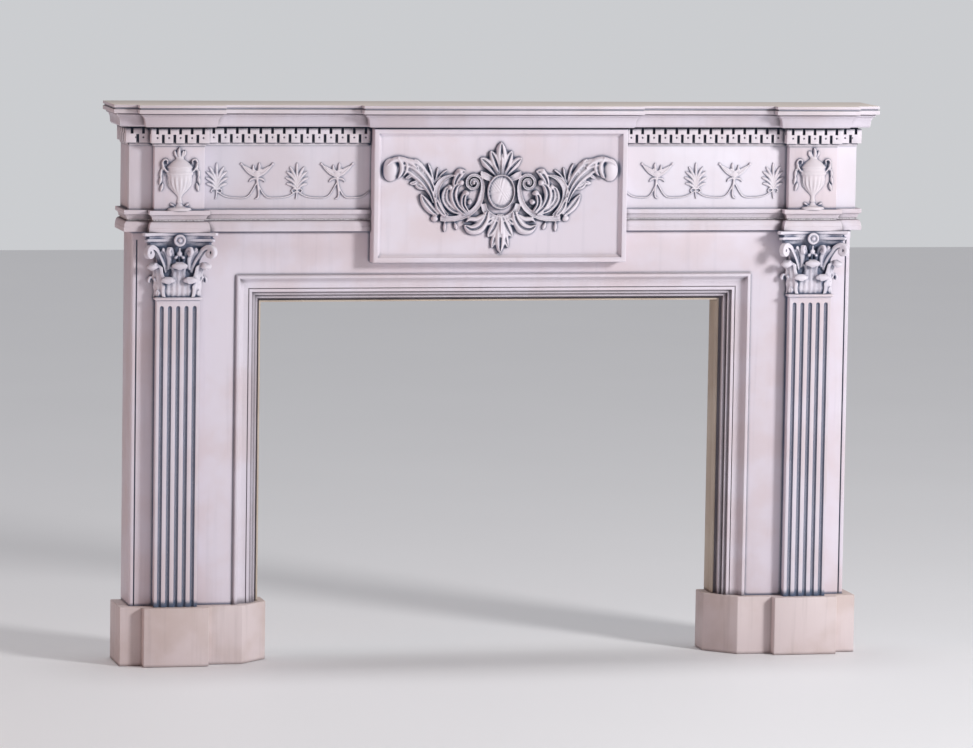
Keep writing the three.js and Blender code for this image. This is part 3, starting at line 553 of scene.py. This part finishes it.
# %% Wrap a grid into a closed stroke
# A smooth curve through the points, walked in equal steps.
def even_line(points, count):
    points = np.asarray(points, float)
    ends = np.vstack([2 * points[0] - points[1], points, 2 * points[-1] - points[-2]])
    t = np.linspace(0, 1, 24, endpoint=False)[:, None]
    spans = []
    for a, b, c, d in zip(ends, ends[1:], ends[2:], ends[3:]):
        spans.append(0.5 * (2 * b + (c - a) * t + (2 * a - 5 * b + 4 * c - d) * t**2
                            + (3 * b - a - 3 * c + d) * t**3))
    fine = np.vstack(spans + [points[-1:]])
    length = np.r_[0, np.cumsum(np.linalg.norm(np.diff(fine, axis=0), axis=1))]
    at = np.linspace(0, length[-1], count)
    return np.stack([np.interp(at, length, fine[:, axis]) for axis in range(3)], 1)


# Cross sections: a runs from -1 to 1 across the stroke, and the result is a share of its rise.
def rounded(a):
    return np.sqrt(np.clip(1 - a**2, 0, 1))


def leafy(a):
    return rounded(a) * (1 - 0.5 * np.exp(-(a / 0.2) ** 2))


def channelled(a):
    return np.clip(1 - np.abs(a) ** 10, 0, 1) ** 0.5 * (0.5 + 0.5 * np.abs(a) ** 2.4)


def ribbed(a):
    return np.clip(1 - a**4, 0, 1) ** 0.5 * (0.78 + 0.22 * np.cos(3 * np.pi * a))


# Widths along a stroke: t runs from 0 at the root to 1 at the tip.
def swell(width, peak=0.62, root=0.25):
    def at(t):
        rise = root + (1 - root) * np.sin(np.pi / 2 * np.clip(t / peak, 0, 1))
        fall = np.cos(np.pi / 2 * np.clip((t - peak) / (1 - peak), 0, 1)) ** 0.7
        return np.maximum(width * np.where(t < peak, rise, fall), 0.4)
    return at


def taper(start, end):
    return lambda t: start + (end - start) * t


def stroke(route, width, rise, section=rounded, steps=26, around=20, across=None, sink=2.0):
    line = even_line(route, steps + 1)
    run = np.gradient(line, axis=0)
    run /= np.linalg.norm(run, axis=1)[:, None]
    if across is None:
        side = np.cross(run, (0, -1, 0))
        side /= np.linalg.norm(side, axis=1)[:, None]
        out = np.tile((0.0, -1.0, 0.0), (steps + 1, 1))
    else:
        side = np.tile(np.asarray(across, float), (steps + 1, 1))
        out = np.cross(side, run)
    t = np.linspace(0, 1, steps + 1)
    u = np.arange(around) / around
    front = u <= 0.5
    a = np.where(front, -1 + 4 * u, 3 - 4 * u)
    lift = np.where(front, section(a), 0.0)[None, :] * rise(t)[:, None] - np.where(front, 0.0, sink)
    offset = (a[None, :] * width(t)[:, None] / 2)[..., None]
    return skin(line[:, None, :] + offset * side[:, None, :] + lift[..., None] * out[:, None, :])


# On flat ground a route is given as across and up, in millimetres.
def relief(points, width, rise, section=rounded, floor=0.0, **more):
    rise_at = rise if callable(rise) else (lambda t: np.full_like(t, rise))
    width_at = width if callable(width) else (lambda t: np.full_like(t, width))
    route = [(x, -floor, z) for x, z in points]
    return stroke(route, width_at, rise_at, section, sink=floor + 2.0, **more)


def petal(root, angle, length, width, rise, bend=0.0, section=leafy, floor=0.0, peak=0.62):
    turn = math.radians(angle)
    ahead = np.array((math.sin(turn), math.cos(turn)))
    side = np.array((ahead[1], -ahead[0]))
    points = [np.array(root) + ahead * length * t + side * bend * math.sin(math.pi * t)
              for t in (0, 0.35, 0.7, 1)]
    rise_at = lambda t: rise * (0.55 + 0.45 * np.sin(np.pi * np.clip(t, 0, 0.86)))
    return relief(points, swell(width, peak), rise_at, section, floor, steps=16, around=16)


def boss(x, z, across, up, proud):
    bpy.ops.object.select_all(action="DESELECT")
    bpy.ops.mesh.primitive_uv_sphere_add(segments=24, ring_count=14, radius=1)
    piece = bpy.context.object
    stretched = Matrix.Diagonal((across * MM, proud * MM, up * MM, 1))
    piece.data.transform(Matrix.Translation((x * MM, 0, z * MM)) @ stretched)
    return piece


def coil(centre, start, end, first, last, count=12):
    points = []
    for i in range(count + 1):
        share = i / count
        angle = math.radians(first + (last - first) * share)
        radius = start + (end - start) * share
        points.append((centre[0] + radius * math.cos(angle), centre[1] + radius * math.sin(angle)))
    return points


# %% [markdown]
# A casting lies flat on its board, so after the strokes are fused and softened every point
# behind the board's face is brought up to it. The mesh is then thinned, because flat parts
# need few faces. Where strokes pile up higher than the measured piece, the whole relief is
# pressed back to the measured depth.

# %% Join strokes into one casting
def with_mirror_image(pieces):
    half = join(pieces)
    half.modifiers.new("other half", "MIRROR").use_axis = (True, False, False)
    apply_modifiers(half)
    return half


def cast(pieces, voxel, rounds=3, keep=0.5):
    whole = join(pieces)
    fused = whole.modifiers.new("fused", "REMESH")
    fused.mode = "VOXEL"
    fused.voxel_size = voxel * MM
    softened = whole.modifiers.new("softened", "SMOOTH")
    softened.factor = 0.5
    softened.iterations = rounds
    apply_modifiers(whole)
    spots = corners_of(whole)
    spots[:, 1] = np.minimum(spots[:, 1], 0)
    move_corners(whole, spots)
    lighter = whole.modifiers.new("lighter", "DECIMATE")
    lighter.ratio = keep
    apply_modifiers(whole)
    return whole


def trim_front(piece, front):
    spots = corners_of(piece)
    spots[:, 1] *= min(1, front / spots[:, 1].min())
    move_corners(piece, spots)


def place(piece, x, y, z):
    piece.data.transform(Matrix.Translation((x, y, z)))


def finish_pair(right, kind, paint):
    pair = {"right": right, "left": mirrored_copy(right)}
    for side, piece in pair.items():
        node = f"{kind}_{side}"
        finish_piece(piece, f"{node}.carved", "ornament_paint", node, angle=60, paint=paint)


# %% [markdown]
# ## The cartouche on the tablet
# It is a high relief: an oval shield in a double rim, a crest and a drop of leaves, and on
# each side a C scroll with acanthus lobes inside it, a long leaf that ends in a rolled
# ball, and small sprigs. The right side is modelled and mirrored before the casting is
# fused, so that the middle stays closed.

# %% Model the cartouche
def cartouche_side():
    c_scroll = coil((69, 21), 4, 22, -420, 180, 20) + [
        (46, 8), (49, -13), (56, -31), (68, -46), (86, -58), (108, -65), (130, -67), (152, -66)]
    c_width = lambda t: 8.5 + 7 * np.clip((t - 0.42) / 0.16, 0, 1)
    outer_band = [(134, -60), (150, -42), (161, -20), (163, 2), (156, 20), (144, 32), (130, 38), (116, 40)]
    long_leaf = [(166, -26), (174, 0), (187, 24), (204, 44), (224, 59), (250, 66)]
    leaf_width = lambda t: np.interp(t, [0, 0.3, 0.7, 1], [14, 30, 47, 34])
    return [
        relief(c_scroll, c_width, 15, channelled, steps=110),
        boss(69, 21, 5.5, 5.5, 15), boss(165, -66, 10, 9, 11),
        relief(outer_band, swell(18, 0.5, 0.6), 17, channelled, floor=1, steps=40),
        relief(long_leaf, leaf_width, 14, ribbed, floor=1, steps=40, around=40),
        boss(277, 53, 21.5, 29, 18.5),
        relief([(262, 84), (252, 68), (252, 50), (261, 32)], swell(18, 0.5, 0.6), 18.5, steps=24),
        relief([(246, 80), (238, 66), (240, 50), (248, 38)], swell(14, 0.5, 0.6), 16, steps=20),
        relief([(214, 58), (230, 71), (250, 78), (272, 76), (290, 64)],
               swell(17, 0.55, 0.5), 17.5, steps=30),
        petal((222, 56), 44, 34, 16, 15, -3), petal((205, 46), 22, 36, 17, 14, -4),
        petal((196, 32), 8, 34, 15, 13, -4), petal((184, 8), 62, 36, 17, 11, 6),
        petal((222, 48), 128, 24, 13, 12, 3), petal((206, 30), 112, 26, 13, 11, 3),
        relief([(168, 6), (171, 30), (177, 52), (184, 70)], swell(8, 0.75, 0.6), 8, steps=20),
        relief([(166, 20), (161, 42), (158, 60)], swell(7, 0.75, 0.6), 7, steps=16),
        relief([(164, 22), (151, 40), (134, 54)], swell(7, 0.75, 0.6), 7, steps=16),
        relief([(158, -58), (174, -44), (189, -26), (202, -6)], swell(26, 0.5, 0.5), 13, leafy, steps=24),
        relief([(140, -60), (156, -40), (166, -14)], swell(20, 0.5, 0.5), 15, leafy, floor=2, steps=20),
        relief([(98, -54), (124, -42), (141, -20), (138, 4), (126, 12)],
               swell(25, 0.6, 0.5), 12, leafy, steps=30),
        relief([(90, -55), (110, -36), (120, -10), (114, 12), (100, 20)],
               swell(26, 0.6, 0.5), 17, leafy, steps=32),
        relief([(84, -50), (95, -32), (94, -12), (84, -4)], swell(21, 0.6, 0.5), 19, leafy, steps=26),
        relief([(118, 14), (112, 32), (101, 46), (88, 50)], swell(24, 0.6, 0.5), 16, leafy, steps=26),
        boss(88, -4, 9, 8, 20), boss(80, -26, 8, 8, 21), boss(104, 49, 9, 8, 18), boss(101, 22, 9, 8, 19),
        boss(128, 10, 8, 8, 15),
        petal((140, -70), 180, 30, 10, 10, 0, rounded), petal((116, -74), 200, 22, 11, 10, 0, rounded),
        relief([(34, -50), (40, -70), (54, -88), (74, -93), (92, -82)],
               swell(34, 0.5, 0.45), 16, leafy, steps=26),
        relief([(44, -58), (60, -68), (78, -68), (88, -76)], swell(16, 0.5, 0.5), 14, steps=18),
        petal((5, 36), 19, 68, 28, 18, -3), petal((8, 34), 42, 66, 27, 16, -4),
        petal((12, 30), 64, 44, 21, 18, 5, channelled), petal((6, 44), 32, 34, 11, 20, 0, rounded),
        petal((4, -56), 154, 62, 29, 15, 4), petal((2, -58), 167, 84, 22, 13, 3),
        petal((14, -58), 130, 38, 19, 14, 3),
    ]


def shield():
    turn = np.linspace(0, 2 * math.pi, 72, endpoint=False)
    rings = []
    for share, lift in ((1, -2), (1, 8), (0.94, 10.5), (0.8, 12.3), (0.64, 13.6), (0.46, 14.6),
                        (0.28, 15.2), (0.12, 15.5), (0.02, 15.6)):
        across, up = 32 * share * np.cos(turn), 40 * share * np.sin(turn)
        rippled = lift + 0.8 * np.sin((across + 0.75 * up) * 0.9) * (lift > 9)
        rings.append(np.stack([across, -rippled, up], 1))
    return skin(rings)


def cartouche_middle():
    across, up = 33, 41
    rim_wear_and_highlight = [(across * math.cos(a), up * math.sin(a)) for a in np.linspace(0, 2 * math.pi, 33)]
    cradle = [(-44, -30), (-38, -48), (-20, -63), (0, -68), (20, -63), (38, -48), (44, -30)]
    return [
        shield(),
        relief(rim_wear_and_highlight, 5.5, 17.5, steps=72),
        relief(cradle, 17, 16, channelled, steps=50),
        petal((0, 36), 0, 86, 33, 19), petal((0, 42), 0, 52, 9, 22, 0, rounded),
        petal((0, -56), 180, 96, 32, 18), petal((0, -62), 180, 52, 9, 20, 0, rounded),
    ]


cartouche = cast([with_mirror_image(cartouche_side())] + cartouche_middle(), voxel=1.15, keep=0.46)
low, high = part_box("tablet_cartouche")
trim_front(cartouche, low.y - high.y)
place(cartouche, 0, high.y, 1165 * MM)
finish_piece(cartouche, "tablet_cartouche.carved", "ornament_paint", "tablet_cartouche", angle=60)

# %% [markdown]
# ## The capitals
# A leafy capital: two low leaves, a tall one between them and one on each corner, all with
# their tips rolled forward. Stalks rise behind them to the volutes under the horns of the
# top plate, which has hollow sides and carries a rosette. The leaves stand in space, so
# their strokes follow a line that climbs the bell and turns over at the top.

# %% Model one capital and mirror it
def climbing(x, y, heading, profile, width, rise, section=leafy, steps=30, sink=3.0):
    turn = math.radians(heading)
    ahead = np.array((math.sin(turn), -math.cos(turn), 0))
    side = (math.cos(turn), math.sin(turn), 0)
    route = [np.array((x, y, 0)) + ahead * out + np.array((0, 0, height)) for out, height in profile]
    return stroke(route, width, lambda t: np.full_like(t, rise), section, steps, 24, side, sink)


def lobed(width, lobes=3, depth=0.16):
    def at(t):
        notched = 1 - depth * np.abs(np.sin(np.pi * lobes * t / 0.66))
        blade = 1.15 * notched * np.clip((0.8 - t) / 0.14, 0, 1)
        tip = np.sqrt(np.clip(1 - ((t - 0.86) / 0.165) ** 2, 0.02, 1))
        return width * np.maximum(blade, 0.6 * tip)
    return at


def knob_at(x, y, z, across, up, proud):
    knob = boss(x, z, across, up, proud)
    place(knob, 0, y * MM, 0)
    return knob


def abacus_rings():
    levels = [(122, 16), (126, 14), (133.5, 14.5), (134.5, 9), (136, 7), (141.5, 6.5), (143, 8), (144, 12),
              (147.5, 12), (149.5, 5), (150.5, 1.2), (151.5, 0), (157, 0), (157.6, 0.6)]
    rings = []
    for height, inset in levels:
        horn, front, middle = 94 - inset, 66 - inset, 48 - inset
        t = np.linspace(-1, 1, 41)
        bow = middle + (front - middle) * np.abs(t) ** 2.2
        face = np.stack([t * (horn - 7), -bow, np.full_like(t, height)], 1)
        s = np.linspace(0, 1, 12)
        flank_x = horn - (horn * 0.18) * np.sin(np.pi / 2 * s) ** 1.4
        flank = np.stack([flank_x, -(front - 7) * (1 - s), np.full_like(s, height)], 1)
        other = flank[::-1] * (-1, 1, 1)
        rings.append(np.vstack([face, flank, other]))
    return rings


def capital_pieces():
    bell = [np.array([(-w, 2, z), (-w, -f, z), (-w / 3, -f, z), (w / 3, -f, z), (w, -f, z), (w, 2, z)])
            for z, w, f in ((0, 50, 30), (60, 51, 31), (100, 53, 33), (128, 60, 38), (147, 72, 44))]
    low_leaf = [(0, 0), (2, 12), (3, 26), (6, 38), (12, 46), (19, 46), (22, 39), (19, 34)]
    tall_leaf = [(0, 0), (3, 30), (5, 56), (8, 72), (15, 83), (24, 83), (28, 75), (24, 69)]
    corner_leaf = [(0, 0), (3, 30), (6, 54), (11, 70), (20, 81), (30, 81), (34, 73), (29, 67)]
    back_leaf = [(0, 66), (4, 86), (12, 104), (26, 120)]
    horn_stalk = [(0, 60), (8, 80), (19, 99), (33, 116), (49, 124), (61, 119), (64, 108), (57, 100),
                  (48, 103), (48, 111), (55, 112)]
    helix = [(0, 70), (5, 90), (12, 106), (20, 117), (29, 119), (33, 111), (27, 104), (22, 109)]
    pieces = [skin(bell), skin(abacus_rings())]
    for side in (-1, 1):
        pieces += [
            climbing(side * 26, -29, side * 4, low_leaf, lobed(36), 5, ribbed),
            knob_at(side * 27.5, -46, 41, 18.5, 7.5, 8.5),
            climbing(side * 45, -26, side * 45, corner_leaf, lobed(34), 6, ribbed),
            knob_at(side * 66, -47, 75, 14, 8, 12),
            climbing(side * 49, -15, side * 90, low_leaf, lobed(32), 4.5, ribbed),
            climbing(side * 34, -28, side * 50, horn_stalk, taper(19, 15), 8, channelled, 60, 5),
            climbing(side * 10, -31, side * 34, helix, taper(13, 10), 6, rounded, 40, 4),
            climbing(side * 27, -32, side * 36, back_leaf, swell(30, 0.5, 0.4), 6, leafy),
            climbing(side * 40, -24, side * 78, back_leaf, swell(30, 0.5, 0.4), 6, leafy),
            climbing(side * 50, -30, side * 30, [(0, 0), (1, 8), (2, 18)], swell(14, 0.5, 0.6), 4, leafy),
        ]
    pieces += [
        climbing(0, -30, 0, tall_leaf, lobed(38), 6, ribbed),
        knob_at(0, -54, 77, 20, 8.2, 9.5),
        climbing(0, -31, 0, [(0, 0), (1, 10), (2, 22)], swell(17, 0.5, 0.6), 4, leafy),
        climbing(0, -34, 0, [(0, 76), (6, 92), (12, 108), (16, 122)], taper(7, 5), 4, rounded),
    ]
    pieces += [knob_at(x, -47, z, size, size, 6) for x, z, size in ((0, 106, 7.5), (-9, 97, 5), (9, 97, 5))]
    rosette_height = 139
    bpy.ops.object.select_all(action="DESELECT")
    bpy.ops.mesh.primitive_torus_add(major_radius=11.6 * MM, minor_radius=3.6 * MM, major_segments=40,
                                     minor_segments=12, rotation=(math.pi / 2, 0, 0))
    bpy.ops.object.transform_apply(location=True, rotation=True, scale=True)
    rosette_rim = bpy.context.object
    place(rosette_rim, 0, -54 * MM, rosette_height * MM)
    return pieces + [rosette_rim, knob_at(0, -53, rosette_height, 6.5, 6.5, 7),
                     knob_at(0, -47, rosette_height, 13, 13, 8)]


capital = cast(capital_pieces(), voxel=1.2, rounds=2, keep=0.6)
low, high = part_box("capital_right")
trim_front(capital, low.y - high.y)
place(capital, (low.x + high.x) / 2, high.y, low.z)
finish_pair(capital, "capital", deep_paint)

# %% [markdown]
# ## The urns
# Each urn is a turned shape laid half into its block: the profile is turned round as rings
# on a wrapped grid, then flattened. Reeds run down the belly, a flame stands on the lid,
# and the handles carry strings of husks.

# %% Turn the urn and dress it
def turned_body(profile, flatten):
    line = even_line([(r, 0, z) for r, z in profile], 90)
    turn = np.linspace(0, 2 * math.pi, 64, endpoint=False)
    rings = []
    for r, _, z in line:
        belly = math.exp(-((z - 62) / 17) ** 2)
        reeded = r * (1 + 0.075 * belly * np.cos(16 * turn))
        across, out = reeded * np.cos(turn), flatten * reeded * np.sin(turn)
        rings.append(np.stack([across, out, np.full_like(turn, z)], 1))
    return skin(rings)


def urn_side():
    husks = []
    for fallen in (0, 17, 34, 51):
        root = (41 + 5 * math.sin(0.06 * fallen), 118 - fallen)
        husks.append(petal(root, 178 - fallen * 0.25, 22, 9, 7, 0, rounded, peak=0.45))
    return husks + [
        relief([(26, 92), (34, 97), (41, 107), (43, 117), (38, 124), (31, 122), (31, 114)],
               taper(7, 5), 8, steps=36),
        petal((12, 10), 62, 14, 7, 6, 0, rounded), petal((6, 128), 20, 20, 8, 6, 2, rounded),
    ]


urn_profile = [(0.2, -1), (29, -1), (29.5, 3), (27, 6), (13, 9), (8, 13), (6, 17), (8.5, 20), (6, 23),
               (5.5, 32), (9, 38), (18, 48), (26, 60), (29.5, 74), (30.5, 84), (34, 88), (34, 92),
               (31, 95), (31, 102), (33, 105), (30, 109), (22, 117), (14, 123), (10, 126), (11, 129),
               (7, 132), (0.2, 134)]
urn_parts = [turned_body(urn_profile, 0.55), with_mirror_image(urn_side())]
urn_parts += [petal((0, 126), 0, 29, 11, 8, 3, rounded, peak=0.4),
              petal((0, 124), -20, 24, 8, 6, -2, rounded)]
urn = cast(urn_parts, voxel=0.8, rounds=2, keep=0.5)
low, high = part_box("urn_right")
trim_front(urn, low.y - high.y)
place(urn, (low.x + high.x) / 2, high.y, low.z)
finish_pair(urn, "urn", low_relief_paint)

# %% [markdown]
# ## Palmettes, torches and festoons
# This is low relief, only a few millimetres proud. A palmette is a fan of nine narrow
# petals, a torch has two feathered arms and a curl of flame, and a cord swings from one
# to the next.

# %% Model the ornament of the right frieze
def palmette(x, z):
    tips = [(0, 70, 0), (19, 60, 3), (27, 48, 5), (30, 33, 5), (27, 18, 4)]
    pieces = []
    for i, (dx, dz, bend) in enumerate(tips):
        root = 22 - 5 * i
        length = math.hypot(dx, dz - root)
        for side in ((-1, 1) if dx else (1,)):
            angle = math.degrees(math.atan2(side * dx, dz - root))
            pieces.append(petal((x, z + root), angle, length, 8.5, 4.6, -side * bend, rounded, peak=0.75))
    pieces.append(relief([(x, z + 30), (x, z - 4), (x + 2, z - 20)], taper(6, 4), 3.5, steps=16, around=12))
    for side in (-1, 1):
        pieces.append(relief([(x, z + 4), (x + side * 9, z + 5), (x + side * 13, z), (x + side * 9, z - 4)],
                             taper(5, 4), 4, steps=16, around=12))
    return pieces


def torch(x, z):
    pieces = []
    for side in (-1, 1):
        at = lambda points: [(x + side * dx, z + dz) for dx, dz in points]
        pieces += [
            relief(at([(2, 36), (15, 44), (29, 56), (39, 66)]),
                   swell(11, 0.35, 0.6), 5, ribbed, steps=24, around=16),
            boss(x + side * 39, z + 66, 3.6, 3.6, 4.5),
            relief(at([(5, 47), (13, 50), (22, 55), (29, 61)]),
                   swell(8, 0.4, 0.5), 4, steps=16, around=12),
            relief(at([(2, 30), (10, 30), (17, 26), (19, 21)]),
                   swell(7, 0.5, 0.6), 4.5, steps=16, around=12),
        ]
    pieces += [
        boss(x, z + 40, 11, 9, 5),
        relief([(x - 12, z + 54), (x, z + 48), (x + 12, z + 54)], 5, 5, steps=16, around=12),
        petal((x, z + 46), -12, 24, 9, 5, -3, rounded), petal((x + 2, z + 46), 22, 20, 7, 4.5, 3, rounded),
        relief([(x, z + 36), (x - 3, z + 12), (x - 5, z - 8), (x - 2, z - 17), (x + 4, z - 19)],
               taper(8, 5), 4.5, steps=24, around=12),
    ]
    return pieces


def festoon(start, finish, hang):
    (x0, z0), (x1, z1) = start, finish
    return [relief([(x0, z0), (x0 + 0.22 * (x1 - x0), hang + 4), ((x0 + x1) / 2, hang),
                    (x1 - 0.22 * (x1 - x0), hang + 4), (x1, z1)], 4.2, 3.6, steps=36, around=12)]


_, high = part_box("frieze_ornament_right")
frieze_foot, frieze_height = 1119, 157
base = frieze_foot + 0.29 * frieze_height
first_stop, last_stop, cord_end = 704, 405, 322
torch_tie = 20
stops = [first_stop - i * (first_stop - last_stop) / 3 for i in range(4)]
strung = []
for i, (x, following) in enumerate(zip(stops, stops[1:] + [cord_end])):
    is_palmette = i % 2 == 0
    strung += palmette(x, base) if is_palmette else torch(x, base)
    tied, next_tied = (base, base + torch_tie) if is_palmette else (base + torch_tie, base)
    strung += festoon((x, tied), (following, next_tied), base - 17)
frieze_ornament = cast(strung, voxel=0.9, rounds=2, keep=0.5)
place(frieze_ornament, 0, high.y, 0)
finish_pair(frieze_ornament, "frieze_ornament", low_relief_paint)

# %% [markdown]
# ## Floor, light and camera
# The mantel stands on a plain pale floor, which lies half a millimetre low so that it
# doesn't flicker through the undersides of the plinths. One large lamp from the right and
# a little above gives the soft shadows to the left of the capitals and the tablet. A weak
# warm lamp warms the left return, a broad light from overhead whitens the shelf, and a
# pale surround fills the rest. The camera is far away with a long lens, which keeps the
# uprights nearly parallel as they are in the picture.

# %% Lay the floor
bpy.ops.object.select_all(action="DESELECT")
bpy.ops.mesh.primitive_plane_add(size=24, location=(0, 0, -0.5 * MM))
floor = bpy.context.object
floor.name = "studio_floor"
floor_finish = bpy.data.materials.new("pale_floor")
floor_finish.use_nodes = True
floor_tree = floor_finish.node_tree
floor_shader = floor_tree.nodes["Principled BSDF"]
floor_place = floor_tree.nodes.new("ShaderNodeTexCoord").outputs["Object"]
floor_ramp = floor_tree.nodes.new("ShaderNodeMapRange")
floor_clouds = noise(floor_tree, floor_place, scale=1.5, detail=4)
floor_tree.links.new(floor_clouds, floor_ramp.inputs["Value"])
floor_ramp.inputs["To Min"].default_value = 0.55
floor_ramp.inputs["To Max"].default_value = 0.7
floor_tree.links.new(floor_ramp.outputs["Result"], floor_shader.inputs["Roughness"])
floor_shader.inputs["Base Color"].default_value = (0.84, 0.84, 0.86, 1)
floor.data.materials.append(floor_finish)

# %% Hang the lamps and set the surround
def lamp(name, spot, aim, size, power, colour):
    light = bpy.data.lights.new(name, "AREA")
    light.shape = "DISK"
    light.size = size
    light.energy = power
    light.color = colour
    holder = bpy.data.objects.new(name, light)
    holder.location = spot
    holder.rotation_euler = (Vector(aim) - Vector(spot)).to_track_quat("-Z", "Y").to_euler()
    bpy.context.scene.collection.objects.link(holder)


lamp("key lamp", (4.7, -5.2, 3.3), (0.1, 0, 0.75), 1.6, 390, (1.0, 0.985, 0.975))
lamp("fill lamp", (-4.9, -1.4, 1.5), (-0.9, 0, 0.8), 2.5, 22, (1.0, 0.46, 0.26))
overhead = bpy.data.lights.new("overhead light", "SUN")
overhead.energy = 1.15
overhead.angle = math.radians(20)
overhead_holder = bpy.data.objects.new("overhead light", overhead)
overhead_holder.rotation_euler = (math.radians(-4), 0, 0)
bpy.context.scene.collection.objects.link(overhead_holder)

surround = bpy.data.worlds.new("pale surround")
bpy.context.scene.world = surround
surround.use_nodes = True
sky_tree = surround.node_tree
sky = sky_tree.nodes["Background"]
sky.inputs["Color"].default_value = (0.84, 0.84, 0.90, 1)
sky.inputs["Strength"].default_value = 0.2
backdrop = sky_tree.nodes.new("ShaderNodeBackground")
backdrop.inputs["Color"].default_value = (0.6, 0.61, 0.63, 1)
either = sky_tree.nodes.new("ShaderNodeMixShader")
seen = sky_tree.nodes.new("ShaderNodeLightPath").outputs["Is Camera Ray"]
sky_tree.links.new(seen, either.inputs["Fac"])
sky_tree.links.new(sky.outputs["Background"], either.inputs[1])
sky_tree.links.new(backdrop.outputs["Background"], either.inputs[2])
sky_tree.links.new(either.outputs["Shader"], sky_tree.nodes["World Output"].inputs["Surface"])
bpy.context.scene.view_settings.view_transform = "Standard"

# %% Aim the camera
azimuth, elevation, roll = (math.radians(a) for a in (13.0, 6.0, 0.9))
aim = Vector((-27.1, -55.0, 713.0)) * MM
distance = 14.0
photo_width, focal_pixels, sensor_width = 973, 5671.3, 36
back = Vector((-math.sin(azimuth) * math.cos(elevation), -math.cos(azimuth) * math.cos(elevation),
               math.sin(elevation)))
right = (-back).cross(Vector((0, 0, 1))).normalized()
up = right.cross(-back)
turned_right = right * math.cos(roll) + up * math.sin(roll)
turned_up = -right * math.sin(roll) + up * math.cos(roll)
camera_data = bpy.data.cameras.new("camera")
camera_data.sensor_width = sensor_width
camera_data.lens = sensor_width * (focal_pixels / photo_width)
camera_data.clip_end = 60
camera = bpy.data.objects.new("camera", camera_data)
placed = Matrix((turned_right, turned_up, back)).transposed().to_4x4()
placed.translation = aim + back * distance
camera.matrix_world = placed
bpy.context.scene.collection.objects.link(camera)
bpy.context.scene.camera = camera
